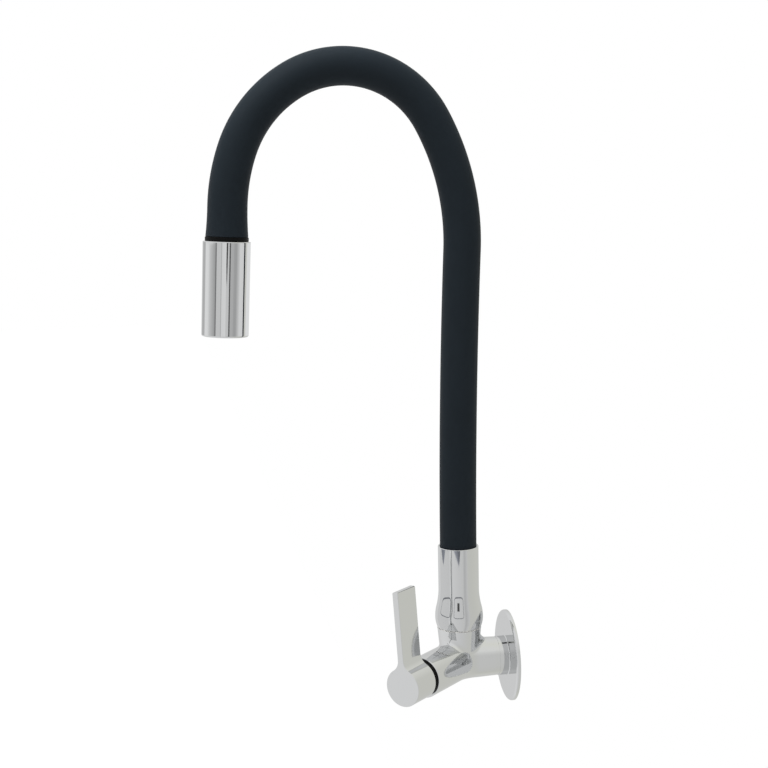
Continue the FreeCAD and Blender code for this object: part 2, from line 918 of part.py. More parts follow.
def aerator_housing():
    inner = aerator_radius - aerator_wall
    housing = turned([
        (inner, aerator_start),
        (aerator_radius, aerator_start),
        (aerator_radius, aerator_end),
        (inner - aerator_lip, aerator_end),
        (inner - aerator_lip, aerator_end - aerator_lip),
        (inner, aerator_end - aerator_lip),
    ])
    return placed(housing, head_frame)


def cells(pitch, size, reach):
    """Centres of a honeycomb of cells that lie wholly inside a radius."""
    rows = int(reach / pitch) + 1
    centres = []
    for row in range(-rows, rows + 1):
        for column in range(-2 * rows, 2 * rows + 1):
            x = pitch * (column + row / 2)
            y = pitch * row * math.sqrt(3) / 2
            if math.hypot(x, y) + size < reach:
                centres.append((x, y))
    return centres


def screen():
    """Flat strainer with square openings."""
    radius = aerator_radius - aerator_wall - slide_gap
    plate = rod(radius, screen_start, screen_start + screen_thick)
    steps = range(-int(radius / screen_pitch), int(radius / screen_pitch) + 1)
    holes = []
    for i in steps:
        for j in steps:
            x, y = i * screen_pitch, j * screen_pitch
            if math.hypot(x, y) + screen_hole < radius:
                corner = V(x - screen_hole / 2, y - screen_hole / 2, screen_start)
                holes.append(Part.makeBox(screen_hole, screen_hole, screen_thick, corner))
    return placed(plate.cut(holes), head_frame)


def flow_straightener():
    """Plastic disc of six-sided cells at the mouth."""
    radius = aerator_radius - aerator_wall - slide_gap
    end = straightener_start + straightener_thick
    disc = rod(radius, straightener_start, end)
    holes = []
    for x, y in cells(cell_pitch, cell_size, radius):
        hole = prism(polygon(6, cell_size, 30), straightener_start, end)
        hole.translate(V(x, y, 0))
        holes.append(hole)
    return placed(disc.cut(holes), head_frame)


def hose_pieces():
    """Each layer of the hose, cut where it is free to bend."""
    cuts = {
        "foot": (None, base_bend[0]),
        "base_bend": base_bend,
        "riser": (base_bend[1], crown_bend[0]),
        "crown_bend": crown_bend,
        "drop": (crown_bend[1], tip_bend[0]),
        "tip_bend": tip_bend,
    }
    layers = {
        "sleeve": (sleeve, sleeve_foot),
        "core": (core, core_foot),
        "water_hose": (water_hose, water_hose_foot),
    }
    pieces = {}
    for layer, (make, foot) in layers.items():
        for place, (start, end) in cuts.items():
            pieces[layer + "_" + place] = make(foot if start is None else start, end)
    head_start = hose_end + end_ring_thick
    pieces["sleeve_tip"] = sleeve_tip()
    pieces["core_tip"] = core(tip_bend[1], head_start + core_end)
    pieces["water_hose_tip"] = water_hose(tip_bend[1], head_start + core_end)
    return pieces


def all_pieces():
    pieces = {
        "wall_flange": wall_flange(),
        "flange_gasket": flange_gasket(),
        "valve_body": valve_body(),
        "seat_washer": seat_washer(),
        "fixed_disc": fixed_disc(),
        "turning_disc": turning_disc(),
        "spindle": spindle(),
        "thrust_washer": thrust_washer(),
        "spindle_seals": spindle_seals_pair(),
        "spindle_clip": spindle_clip(),
        "headwork_housing": headwork_housing(),
        "housing_seal": housing_seal(),
        "gap_ring": gap_ring(),
        "spline_insert": spline_insert(),
        "lever": lever(),
        "grub_screw": grub_screw(),
        "slip_ring": slip_ring(),
        "spout_collar": spout_collar(),
        "swivel_nipple": swivel_nipple(),
        "swivel_seals": swivel_seals(),
        "snap_ring": snap_ring(),
        "hose_anchor": hose_anchor(),
        "foot_ferrule": foot_ferrule(),
        "tip_anchor": tip_anchor(),
        "tip_ferrule": tip_ferrule(),
        "end_ring": end_ring(),
        "head_connector": head_connector(),
        "connector_seal": connector_seal(),
        "head_shell": head_shell(),
        "aerator_seal": aerator_seal(),
        "aerator_housing": aerator_housing(),
        "aerator_screen": screen(),
        "flow_straightener": flow_straightener(),
    }
    pieces.update(hose_pieces())
    return pieces


os.makedirs("parts", exist_ok=True)
for name, piece in all_pieces().items():
    piece.exportStep("parts/" + name + ".step")
    print(name, "solids", len(piece.Solids), "valid", piece.isValid(), "volume", round(piece.Volume, 1))
for name, (start, end) in {"base": base_bend, "crown": crown_bend, "tip": tip_bend}.items():
    point, way = on_route((start + end) / 2)
    print(name, "bend centre", [round(value, 3) for value in point])
print("hose length in view", round(hose_end - collar_top, 1), "head top", head_place)
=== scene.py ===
"""Looks of a wall-mounted kitchen tap: chromed body, lever and collar, a black hose and a
chromed spray head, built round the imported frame.

Shapes are worked out in millimetres and put into the meshes in metres. The frame has +Z up,
the wall is the plane y = 0 and the tap stands out towards -Y.
"""

import json
import math

import bpy
import numpy as np
from bpy.props import FloatProperty, FloatVectorProperty, PointerProperty
from mathutils import Matrix, Vector


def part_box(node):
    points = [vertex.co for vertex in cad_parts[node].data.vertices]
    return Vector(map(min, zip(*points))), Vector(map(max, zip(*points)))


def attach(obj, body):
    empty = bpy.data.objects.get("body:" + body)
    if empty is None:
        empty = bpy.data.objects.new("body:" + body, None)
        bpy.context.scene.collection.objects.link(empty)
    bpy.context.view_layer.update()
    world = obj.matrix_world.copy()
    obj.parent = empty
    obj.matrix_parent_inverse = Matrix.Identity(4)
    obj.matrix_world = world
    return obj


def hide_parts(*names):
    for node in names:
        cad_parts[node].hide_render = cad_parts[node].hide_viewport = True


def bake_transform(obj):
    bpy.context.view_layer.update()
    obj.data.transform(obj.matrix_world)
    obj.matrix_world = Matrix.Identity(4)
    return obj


bl_info = {
    "name": "Wall tap with a flexible spout",
    "version": (1, 0, 0),
    "blender": (4, 5, 0),
    "location": "View3D > Sidebar > Tap",
    "description": "Builds the visible pieces, finishes and stage of a wall tap",
    "category": "Object",
}

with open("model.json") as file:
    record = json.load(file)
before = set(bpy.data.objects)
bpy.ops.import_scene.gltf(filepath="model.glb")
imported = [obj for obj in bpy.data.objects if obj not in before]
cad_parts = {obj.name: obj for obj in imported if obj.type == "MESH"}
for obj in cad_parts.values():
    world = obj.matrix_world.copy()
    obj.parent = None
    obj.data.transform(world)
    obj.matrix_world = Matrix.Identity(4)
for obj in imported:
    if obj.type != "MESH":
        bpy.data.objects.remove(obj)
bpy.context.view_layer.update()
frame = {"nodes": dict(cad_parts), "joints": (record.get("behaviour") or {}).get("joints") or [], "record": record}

MM = 0.001
UP = np.array((0.0, 0.0, 1.0))


# Places read from the frame

def half_width(node):
    """Half of a node's extent along X, in millimetres."""
    low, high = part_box(node)
    return (high.x - low.x) / 2 / MM


joints = {joint["name"]: joint for joint in frame["joints"]}
RISER_OUT = -joints["lever_turn"]["pos_m"][1] / MM
BARREL_WAY = np.array(joints["lever_turn"]["axis"])
FOOT = np.array((0.0, -RISER_OUT, 0.0))
HOSE_RADIUS = half_width("sleeve_riser")
FLANGE_RADIUS = half_width("wall_flange")
END_RING_RADIUS = half_width("end_ring")
HEAD_RADIUS = half_width("head_shell")

# Sizes in millimetres and angles in degrees

# Flange and inlet
SHOULDER_OUT = 9.7
FLANGE_DEPTH = 3.1
FLANGE_SHEET = 0.9
FLANGE_CORNER = 1.6
FLANGE_RIM_GAP = 0.2
FLANGE_COLLAR_RADIUS = 13.3
FLANGE_BORE = 10.78
INLET_RADIUS = 13.1
INLET_BORE = 7.0
INLET_BORE_DEPTH = 20.0
SHANK_RADIUS = 10.0
THREAD_RADIUS = 10.48
THREAD_ROOT = 9.32
THREAD_PITCH = 1.814
THREAD_LENGTH = 15.0
THREAD_RUNOUT = 1.0
THREAD_FADE = 1.0
THREAD_TAPER = 1.2
TOOTH_PEAK = 1.5
TOOTH_SLOPE = 3.2
TOOTH_FLATS = (0.1, 0.95)
EDGE_ROUND = 0.6

# Body
BARREL_RADIUS = 13.7
BARREL_END = 46.6
BARREL_TURN = 45.0
CHAMBER_RADIUS = 9.9
CHAMBER_FLOOR = 13.5
ELBOW_RADIUS = 26.0
RISER_FOOT_RADIUS = 12.9
RISER_RADIUS = 15.1
RISER_HEIGHT = 23.0
NECK_RADIUS = 12.3
NECK_TOP = 44.0
NECK_BORE = 9.1
NECK_FLOOR = 19.7
CROTCH_FILLET = 5.0
FILLET_STRETCH = (13.0, 58.0)
BEND = math.radians(BARREL_TURN)
BEND_REACH = ELBOW_RADIUS * math.tan(BEND / 2)
BEND_START = RISER_OUT - BEND_REACH
BARREL_ZERO = BEND_START + ELBOW_RADIUS * BEND - BEND_REACH

# Lever
LEVER_LEAN = 4.2
HUB_RADIUS = 12.7
HUB_START = 49.4
HUB_END = 69.7
HUB_WALL = 1.8
HUB_FLOOR = 52.9
BLADE_TOP = 63.4
BLADE_THICK = 4.4
BLADE_FILLET = 8.0
BLADE_CORNER = 1.0
LEVER_EDGE_ROUND = 0.45
GAP_RING_RADIUS = 12.3
GAP_RING_BORE = 10.45
GAP_RING_THICK = 2.5

# Collar, heights above the inlet's axis
COLLAR_FOOT = 23.8
COLLAR_BORE = 12.65
COLLAR_RADIUS = 13.88
COLLAR_TOP = 80.0
COLLAR_MOUTH_ROUND = 0.4
BULGE_RADIUS = 16.45
BULGE_HEIGHT = 30.4
BULGE_LOWER_ARC = 18.0
FLARE_ARC = 30.0
FLARE_SLOPE = 14.5

# Hose: lengths along its route from the inlet's height
ROUTE_RISE = 60.1
ROUTE_ARCS = ((4490.0, -2.82), (164.2, 31.03), (65.9, 91.24), (82.8, 40.34), (124.8, 17.11))
ROUTE_TAIL = 19.5
HOSE_FOOT = 72.3
CORE_FOOT = 50.0
WATER_HOSE_FOOT = 51.0
BASE_BEND = (115.0, 185.0)
CROWN_BEND = (405.0, 475.0)
TIP_BEND = (512.0, 562.0)
HOSE_BORE = 10.0
CORE_RADIUS = 9.7
CORE_BORE = 8.3
CORE_GROOVE = 0.35
CORE_PITCH = 3.2
WATER_HOSE_RADIUS = 6.3
WATER_HOSE_BORE = 4.5
HOSE_FLARE_RADIUS = 13.8
HOSE_SWELL = 0.45
HOSE_LIP_SHARE = 0.4
HOSE_INSIDE_SHORT = 1.7
END_RING_THICK = 2.7
END_RING_BORE = 7.2
END_RING_EDGE = 0.35

# Spray head, lengths down from its top face
HEAD_FOOT_RADIUS = 15.35
HEAD_LENGTH = 61.6
HEAD_WALL = 1.5
HEAD_TOP_ROUND = 0.7
HEAD_FOOT_ROUND = 1.2
HEAD_STEM_BORE = 6.95
HEAD_MOUTH = 12.05
HEAD_LIP_START = 48.8
HEAD_LIP_END = 52.3
HEAD_LIP_BORE = 10.5

# Camera that the photograph was taken with, fitted to the tap's outlines
PICTURE = 768
FOCAL_PIXELS = 1400.0
SENSOR = 36.0
CAMERA_PITCH = 7.73
CAMERA_YAW = 9.58
CAMERA_ROLL = -1.19
CAMERA_DISTANCE = 967.85
FOOT_PIXEL = (459.66, 658.22)

# Fineness: points round a piece, steps along it, and how near points count as one
AROUND = 160
COLLAR_AROUND = 360
CORE_AROUND = 48
WATER_HOSE_AROUND = 36
HOSE_STEP = 1.1
WATER_HOSE_STEP = 3.0
BORE_COARSER = 3
CORE_STEPS_EACH_PITCH = 6
BODY_ALONG = 80
BODY_AROUND = 192
TUBE_STEPS = 48
FILLET_STEPS = 32
TURNS_TRIED = 720
HALVINGS = 40
THREAD_STEPS = 112
STRIP_COLUMNS, STRIP_ROWS = 12, 8
WINDOW_AROUND = 80
SAME_POINT = 0.001


# Profiles: runs of points, each a radius and a height, with their directions

def line(start, end, count=1):
    """Straight run of a profile, from start to end in equal steps."""
    start, end = np.array(start, float), np.array(end, float)
    way = (end - start) / np.linalg.norm(end - start)
    share = np.linspace(0, 1, count + 1)[:, None]
    return start + share * (end - start), np.repeat(way[None], count + 1, 0)


def lines(*points):
    """Straight runs from each point to the next."""
    return [line(a, b) for a, b in zip(points[:-1], points[1:])]


def arc(centre, radius, start, end, count=8):
    """Round run of a profile: centre + radius (cos a, sin a), from angle start to end."""
    angle = np.radians(np.linspace(start, end, count + 1))
    spoke = np.stack([np.cos(angle), np.sin(angle)], 1)
    way = np.stack([-np.sin(angle), np.cos(angle)], 1) * np.sign(end - start)
    return np.array(centre) + radius * spoke, way


# Axis lines: for heights, each gives the centre, two cross directions and the way along

def spokes(side, up, turn):
    """Directions side cos t + up sin t, for the turns t round an axis line."""
    return side * np.cos(turn)[..., None] + up * np.sin(turn)[..., None]


def straight_axis(origin, along, up):
    """Axis line of a straight piece."""
    along = np.array(along, float)
    up = np.array(up, float)
    side = np.cross(up, along)

    def axis(height):
        rows = np.ones((len(height), 1))
        return origin + height[:, None] * along, rows * side, rows * up, rows * along
    return axis


def route(length):
    """Centre line of the hose: point and lean at each length.

    It climbs straight first. On an arc of curvature k that starts at lean a, the lean grows
    to b = a + k t, y falls by (cos a - cos b) / k and z grows by (sin b - sin a) / k. The
    last stretch is straight.
    """
    start, y, z, lean = ROUTE_RISE, -RISER_OUT, ROUTE_RISE, 0.0
    at_y, at_z, at_lean = np.full_like(length, y), length.copy(), np.zeros_like(length)
    for radius, degrees in ROUTE_ARCS:
        curve = math.copysign(1 / radius, degrees)
        reach = radius * abs(math.radians(degrees))
        past = length >= start
        after = lean + np.minimum(length - start, reach) * curve
        at_y = np.where(past, y - (math.cos(lean) - np.cos(after)) / curve, at_y)
        at_z = np.where(past, z + (np.sin(after) - math.sin(lean)) / curve, at_z)
        at_lean = np.where(past, after, at_lean)
        end = lean + math.radians(degrees)
        y -= (math.cos(lean) - math.cos(end)) / curve
        z += (math.sin(end) - math.sin(lean)) / curve
        start, lean = start + reach, end
    over = np.maximum(length - start, 0)
    at_y = at_y - over * math.sin(lean)
    at_z = at_z + over * math.cos(lean)
    return np.stack([np.zeros_like(length), at_y, at_z], 1), at_lean


def route_length():
    """Length of the whole route, to the hose's end at the black ring."""
    arcs = sum(radius * abs(math.radians(degrees)) for radius, degrees in ROUTE_ARCS)
    return ROUTE_RISE + arcs + ROUTE_TAIL


def hose_axis(length):
    """Axis line that follows the hose's route."""
    centre, lean = route(length)
    rows = np.ones((len(length), 1))
    across = np.stack([np.zeros_like(lean), np.cos(lean), np.sin(lean)], 1)
    along = np.stack([np.zeros_like(lean), -np.sin(lean), np.cos(lean)], 1)
    return centre, rows * np.array((1.0, 0.0, 0.0)), across, along


def elbow_axis(length):
    """Axis line of the body, from the wall through the bend into the barrel.

    Straight out of the wall, an arc of radius R in plan, then straight along the barrel.
    With the bend's angle a, the arc is its centre + R (-cos a, -sin a).
    """
    angle = np.clip((length - BEND_START) / ELBOW_RADIUS, 0, BEND)
    x = ELBOW_RADIUS * (1 - np.cos(angle))
    y = -BEND_START - ELBOW_RADIUS * np.sin(angle)
    along = np.stack([np.sin(angle), -np.cos(angle), np.zeros_like(angle)], 1)
    centre = np.stack([x, y, np.zeros_like(x)], 1)
    before = np.minimum(length - BEND_START, 0)
    after = np.maximum(length - BEND_START - ELBOW_RADIUS * BEND, 0)
    centre += (before + after)[:, None] * along
    side = np.repeat(UP[None], len(length), 0)
    return centre, side, np.cross(along, UP), along


riser_axis = straight_axis(FOOT, UP, (0, 1, 0))
barrel_axis = straight_axis(FOOT, BARREL_WAY, UP)
inlet_axis = straight_axis(np.zeros(3), (0, -1, 0), UP)


def head_axis():
    """Axis line down the spray head from its top face."""
    end = np.array([route_length() + END_RING_THICK])
    centre, _, _, along = hose_axis(end)
    return straight_axis(centre[0], along[0], (1, 0, 0))


# Surfaces: grids of points with their own normals

def turned(profile, axis, turn=None):
    """Profile carried round an axis line.

    Point = centre(h) + r (cos t side + sin t up). Where the profile runs (dr, dh), the
    normal is dh outwards and -dr along the axis, so a profile that runs round its solid
    with the solid on its left faces out.
    """
    turn = np.linspace(0, 2 * math.pi, AROUND + 1) if turn is None else turn
    patches = []
    for run, way in profile:
        centre, side, up, along = (rows[:, None] for rows in axis(run[:, 1]))
        out = spokes(side, up, turn)
        points = centre + run[:, 0, None, None] * out
        normals = way[:, 1, None, None] * out - way[:, 0, None, None] * along
        patches.append((points, normals))
    return patches


def ruled(first, second, normal, rows=1):
    """Flat or ruled grid between two runs of points with the same count."""
    share = np.linspace(0, 1, rows + 1)[:, None, None]
    points = first[None] * (1 - share) + second[None] * share
    return points, np.broadcast_to(normal, points.shape)


def grid_faces(rows, columns, base):
    """Two triangles for each cell of a grid whose points start at index base."""
    index = base + np.arange(rows * columns).reshape(rows, columns)
    a, b, c, d = index[:-1, :-1], index[:-1, 1:], index[1:, 1:], index[1:, :-1]
    halves = [np.stack(corners, -1).reshape(-1, 3) for corners in ((a, b, c), (a, c, d))]
    return np.concatenate(halves)


def piece(name, patches):
    """Mesh object from patches.

    Points that meet are joined, and each corner keeps its own patch's normal, so a surface
    is smooth inside a patch and crisp where two patches meet at an angle. Faces are turned
    to look the way of their normals.
    """
    points = np.concatenate([grid.reshape(-1, 3) for grid, _ in patches])
    normals = np.concatenate([out.reshape(-1, 3) for _, out in patches])
    faces, base = [], 0
    for grid, _ in patches:
        faces.append(grid_faces(grid.shape[0], grid.shape[1], base))
        base += grid.shape[0] * grid.shape[1]
    corners = np.concatenate(faces)
    keys = np.round(points / SAME_POINT).astype(np.int64)
    _, first, joined = np.unique(keys, axis=0, return_index=True, return_inverse=True)
    joined = joined.reshape(-1)
    triangles = joined[corners]
    a, b, c = triangles.T
    whole = (a != b) & (b != c) & (c != a)
    triangles, corners = triangles[whole], corners[whole]
    spots = points[first]
    facing = np.cross(spots[triangles[:, 1]] - spots[triangles[:, 0]],
                      spots[triangles[:, 2]] - spots[triangles[:, 0]])
    back = np.einsum("ij,ij->i", facing, normals[corners].sum(1)) < 0
    triangles[back] = triangles[back][:, ::-1]
    corners[back] = corners[back][:, ::-1]
    mesh = bpy.data.meshes.new(name)
    mesh.vertices.add(len(spots))
    mesh.vertices.foreach_set("co", (spots * MM).ravel())
    mesh.loops.add(triangles.size)
    mesh.loops.foreach_set("vertex_index", triangles.ravel())
    mesh.polygons.add(len(triangles))
    mesh.polygons.foreach_set("loop_start", np.arange(0, triangles.size, 3))
    mesh.update(calc_edges=True)
    mesh.shade_smooth()
    mesh.normals_split_custom_set(normals[corners.ravel()])
    made = bpy.data.objects.new(name, mesh)
    bpy.context.scene.collection.objects.link(made)
    return made


def settle(made, body, slot, *nodes):
    """Gives a piece its body and its slot's finish, and hides the nodes it replaces.

    A piece that bends has no body of its own.
    """
    made.data.materials.append(SLOT_FINISHES[slot]())
    if body:
        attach(made, body)
    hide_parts(*nodes)


# Finishes

BUMP_HEIGHT = 0.0002
HOSE_DARK, HOSE_LIGHT = 0.8, 1.25


def new_group(name, inputs, outputs):
    """Empty shader node group with named inputs (name, kind, default) and outputs."""
    tree = bpy.data.node_groups.new(name, "ShaderNodeTree")
    for label, kind, default in inputs:
        socket = tree.interface.new_socket(label, in_out="INPUT", socket_type=kind)
        socket.default_value = default
    for label, kind in outputs:
        tree.interface.new_socket(label, in_out="OUTPUT", socket_type=kind)
    source = tree.nodes.new("NodeGroupInput")
    sink = tree.nodes.new("NodeGroupOutput")
    return tree, source, sink


def add_node(tree, kind, **settings):
    """Node of a kind with its settings; socket values go in as a dictionary named values."""
    values = settings.pop("values", {})
    node = tree.nodes.new(kind)
    for key, value in settings.items():
        setattr(node, key, value)
    for key, value in values.items():
        node.inputs[key].default_value = value
    return node


def wire(tree, *links):
    """Links nodes: each link is a node, its output, the other node and its input."""
    for source, output, sink, socket in links:
        tree.links.new(source.outputs[output], sink.inputs[socket])


def handling_group():
    """Marks of use: smudges and hairline scratches in the roughness, smudges in the height."""
    name = "Handling marks"
    if name in bpy.data.node_groups:
        return bpy.data.node_groups[name]
    tree, source, sink = new_group(
        name,
        [("Smudge size", "NodeSocketFloat", 60.0), ("Scratch size", "NodeSocketFloat", 900.0),
         ("Low", "NodeSocketFloat", 0.04), ("High", "NodeSocketFloat", 0.1)],
        [("Roughness", "NodeSocketFloat"), ("Height", "NodeSocketFloat")],
    )
    place = add_node(tree, "ShaderNodeTexCoord")
    smudge = add_node(tree, "ShaderNodeTexNoise", values={"Detail": 4.0, "Roughness": 0.55})
    stretch = add_node(tree, "ShaderNodeMapping", values={"Scale": (1.0, 1.0, 0.07)})
    hair = add_node(tree, "ShaderNodeTexNoise", values={"Detail": 2.0, "Roughness": 0.7})
    thin = add_node(tree, "ShaderNodeMapRange", values={"From Min": 0.62, "From Max": 0.8})
    blend = add_node(
        tree, "ShaderNodeMath", operation="MULTIPLY_ADD", use_clamp=True, values={1: 0.35})
    rough = add_node(tree, "ShaderNodeMapRange")
    wire(
        tree,
        (place, "Object", smudge, "Vector"),
        (source, "Smudge size", smudge, "Scale"),
        (place, "Object", stretch, "Vector"),
        (stretch, "Vector", hair, "Vector"),
        (source, "Scratch size", hair, "Scale"),
        (hair, "Fac", thin, "Value"),
        (thin, "Result", blend, 0),
        (smudge, "Fac", blend, 2),
        (blend, "Value", rough, "Value"),
        (source, "Low", rough, "To Min"),
        (source, "High", rough, "To Max"),
        (rough, "Result", sink, "Roughness"),
        (smudge, "Fac", sink, "Height"),
    )
    return tree


def grain_group():
    """Even fine grain of moulded or cast stuff, with a slow drift of its tone."""
    name = "Moulded grain"
    if name in bpy.data.node_groups:
        return bpy.data.node_groups[name]
    tree, source, sink = new_group(
        name,
        [("Grain size", "NodeSocketFloat", 1500.0), ("Drift size", "NodeSocketFloat", 35.0),
         ("Dark", "NodeSocketColor", (0.01, 0.01, 0.01, 1)),
         ("Light", "NodeSocketColor", (0.02, 0.02, 0.02, 1)),
         ("Low", "NodeSocketFloat", 0.45), ("High", "NodeSocketFloat", 0.6)],
        [("Color", "NodeSocketColor"), ("Roughness", "NodeSocketFloat"),
         ("Height", "NodeSocketFloat")],
    )
    place = add_node(tree, "ShaderNodeTexCoord")
    grain = add_node(tree, "ShaderNodeTexNoise", values={"Detail": 3.0, "Roughness": 0.6})
    drift = add_node(tree, "ShaderNodeTexNoise", values={"Detail": 2.0, "Roughness": 0.5})
    share = add_node(
        tree, "ShaderNodeMath", operation="MULTIPLY_ADD", use_clamp=True, values={1: 0.5})
    halve = add_node(tree, "ShaderNodeMath", operation="MULTIPLY", values={1: 0.5})
    tone = add_node(tree, "ShaderNodeMix", data_type="RGBA")
    rough = add_node(tree, "ShaderNodeMapRange")
    wire(
        tree,
        (place, "Object", grain, "Vector"),
        (place, "Object", drift, "Vector"),
        (source, "Grain size", grain, "Scale"),
        (source, "Drift size", drift, "Scale"),
        (drift, "Fac", halve, 0),
        (grain, "Fac", share, 0),
        (halve, "Value", share, 2),
        (share, "Value", tone, "Factor"),
        (source, "Dark", tone, "A"),
        (source, "Light", tone, "B"),
        (share, "Value", rough, "Value"),
        (source, "Low", rough, "To Min"),
        (source, "High", rough, "To Max"),
        (tone, "Result", sink, "Color"),
        (rough, "Result", sink, "Roughness"),
        (grain, "Fac", sink, "Height"),
    )
    return tree


def start_finish(name):
    """Material of that name, and its Principled shader if it is new."""
    if name in bpy.data.materials:
        return bpy.data.materials[name], None
    made = bpy.data.materials.new(name)
    made.use_nodes = True
    return made, made.node_tree.nodes["Principled BSDF"]


def add_bump(tree, shader, skin, strength):
    """Bump from a skin group's height into the shader's normal."""
    values = {"Strength": strength, "Distance": BUMP_HEIGHT}
    bump = add_node(tree, "ShaderNodeBump", values=values)
    wire(tree, (skin, "Height", bump, "Height"), (bump, "Normal", shader, "Normal"))


def polished_metal(name, color, rough, ripple, edge=1.0):
    """Polished or plated metal: handling marks in its roughness and a slight ripple."""
    made, shader = start_finish(name)
    if shader:
        tree = made.node_tree
        shader.inputs["Base Color"].default_value = (*color, 1)
        shader.inputs["Metallic"].default_value = 1.0
        shader.inputs["Specular Tint"].default_value = (edge, edge, edge, 1)
        values = {"Low": rough[0], "High": rough[1]}
        marks = add_node(tree, "ShaderNodeGroup", node_tree=handling_group(), values=values)
        wire(tree, (marks, "Roughness", shader, "Roughness"))
        add_bump(tree, shader, marks, ripple)
    return made


def moulded(name, dark, light, rough, grain, relief, gloss=0.5):
    """Rubber, plastic, foam or ceramic: grain and drift in its tone, roughness and relief."""
    made, shader = start_finish(name)
    if shader:
        tree = made.node_tree
        shader.inputs["Specular IOR Level"].default_value = gloss
        values = {"Grain size": grain, "Low": rough[0], "High": rough[1],
                  "Dark": (*dark, 1), "Light": (*light, 1)}
        skin = add_node(tree, "ShaderNodeGroup", node_tree=grain_group(), values=values)
        wire(tree, (skin, "Color", shader, "Base Color"), (skin, "Roughness", shader, "Roughness"))
        add_bump(tree, shader, skin, relief)
    return made


def chrome():
    color = tap().chrome_color
    return polished_metal("Polished chrome", color, rough=(0.02, 0.07), ripple=0.01, edge=0.82)


def bare_brass():
    return polished_metal("Turned brass", tap().brass_color, rough=(0.22, 0.4), ripple=0.1)


def steel():
    return polished_metal("Stainless steel", (0.5, 0.5, 0.5), rough=(0.2, 0.4), ripple=0.08)


def silicone():
    color = np.array(tap().hose_color)
    return moulded("Black silicone", color * HOSE_DARK, color * HOSE_LIGHT,
                   rough=(0.5, 0.62), grain=1800.0, relief=0.12, gloss=0.08)


def black_plastic():
    return moulded("Black plastic", (0.003, 0.003, 0.003), (0.006, 0.006, 0.006),
                   rough=(0.45, 0.6), grain=1200.0, relief=0.08, gloss=0.08)


def seal_rubber():
    return moulded("Seal rubber", (0.012, 0.012, 0.012), (0.025, 0.025, 0.025),
                   rough=(0.55, 0.75), grain=900.0, relief=0.15)


def foam():
    return moulded("Gasket foam", (0.05, 0.05, 0.05), (0.11, 0.11, 0.11),
                   rough=(0.85, 1.0), grain=700.0, relief=0.6, gloss=0.2)


def ceramic():
    return moulded("Lapped ceramic", (0.62, 0.6, 0.55), (0.75, 0.73, 0.68),
                   rough=(0.2, 0.35), grain=2500.0, relief=0.03)


def nylon():
    return moulded("Bearing nylon", (0.7, 0.69, 0.66), (0.78, 0.77, 0.74),
                   rough=(0.4, 0.55), grain=1100.0, relief=0.05)


def grey_plastic():
    return moulded("Insert plastic", (0.16, 0.17, 0.18), (0.24, 0.25, 0.26),
                   rough=(0.35, 0.5), grain=1300.0, relief=0.06)


def inner_hose():
    return moulded("Water hose rubber", (0.02, 0.02, 0.022), (0.04, 0.04, 0.044),
                   rough=(0.5, 0.7), grain=1000.0, relief=0.2)


SLOT_FINISHES = {
    "chromed_brass": chrome,
    "gasket_foam": foam,
    "seal_rubber": seal_rubber,
    "valve_ceramic": ceramic,
    "bare_brass": bare_brass,
    "black_plastic": black_plastic,
    "bearing_nylon": nylon,
    "insert_plastic": grey_plastic,
    "aerator_chrome": steel,
    "steel_parts": steel,
    "black_silicone": silicone,
    "gooseneck_steel": steel,
    "water_hose_rubber": inner_hose,
}


# Settings a user would change

class TapSettings(bpy.types.PropertyGroup):
    """Sizes and colours of the tap and its stage."""

    chrome_color: FloatVectorProperty(
        name="Chrome", description="Tint of the chrome plating", subtype="COLOR",
        default=(0.7, 0.708, 0.712), min=0, max=1)
    hose_color: FloatVectorProperty(
        name="Hose", description="Colour of the silicone sleeve", subtype="COLOR",
        default=(0.0147, 0.0205, 0.0262), min=0, max=1)
    brass_color: FloatVectorProperty(
        name="Brass", description="Colour of bare brass", subtype="COLOR",
        default=(0.76, 0.56, 0.3), min=0, max=1)
    hose_radius: FloatProperty(
        name="Hose radius", description="Outside radius of the sleeve", unit="LENGTH",
        default=HOSE_RADIUS * MM, min=0.005, max=0.02)
    end_flare: FloatProperty(
        name="Hose end radius", description="Radius where the sleeve is stretched over its end cup",
        unit="LENGTH", default=HOSE_FLARE_RADIUS * MM, min=0.005, max=0.02)
    fillet: FloatProperty(
        name="Root fillet", description="Radius of the fillet round the riser's root",
        unit="LENGTH", default=CROTCH_FILLET * MM, min=0.001, max=0.006)
    floor_drop: FloatProperty(
        name="Floor drop", description="Floor's depth below the inlet's axis", unit="LENGTH",
        default=0.3, min=0.05, max=2)
    floor_color: FloatVectorProperty(
        name="Floor", description="Colour of the floor", subtype="COLOR",
        default=(0.9, 0.9, 0.9), min=0, max=1)
    key_power: FloatProperty(
        name="Key light", description="Power of the large soft light, in watts",
        default=17.0, min=0, max=200)
    fill_power: FloatProperty(
        name="Fill light", description="Power of the side light, in watts",
        default=2.0, min=0, max=200)
    sky_level: FloatProperty(
        name="Sky level", description="Light of the surroundings on matt surfaces",
        default=0.3, min=0, max=2)
    room_tone: FloatProperty(
        name="Room tone", description="Tone of the grey room that reflections show",
        default=0.7, min=0, max=1)


def tap():
    """The settings of this scene."""
    return bpy.context.scene.wall_tap


# Hose: its layers share the cuts between their stretches, and None is a layer's own end.
# Each stretch has its name, its nodes, the bodies that it bends between and the bend.

HOSE_SPLITS = ((None, 295.0), (295.0, 493.5), (493.5, None))
HOSE_STRETCHES = (
    ("lower", ("foot", "base_bend", "riser"), ("spout_foot", "spout_riser"), BASE_BEND),
    ("arch", ("crown_bend", "drop"), ("spout_riser", "spout_drop"), CROWN_BEND),
    ("end", ("tip_bend", "tip"), ("spout_drop", "spout_head"), TIP_BEND),
)


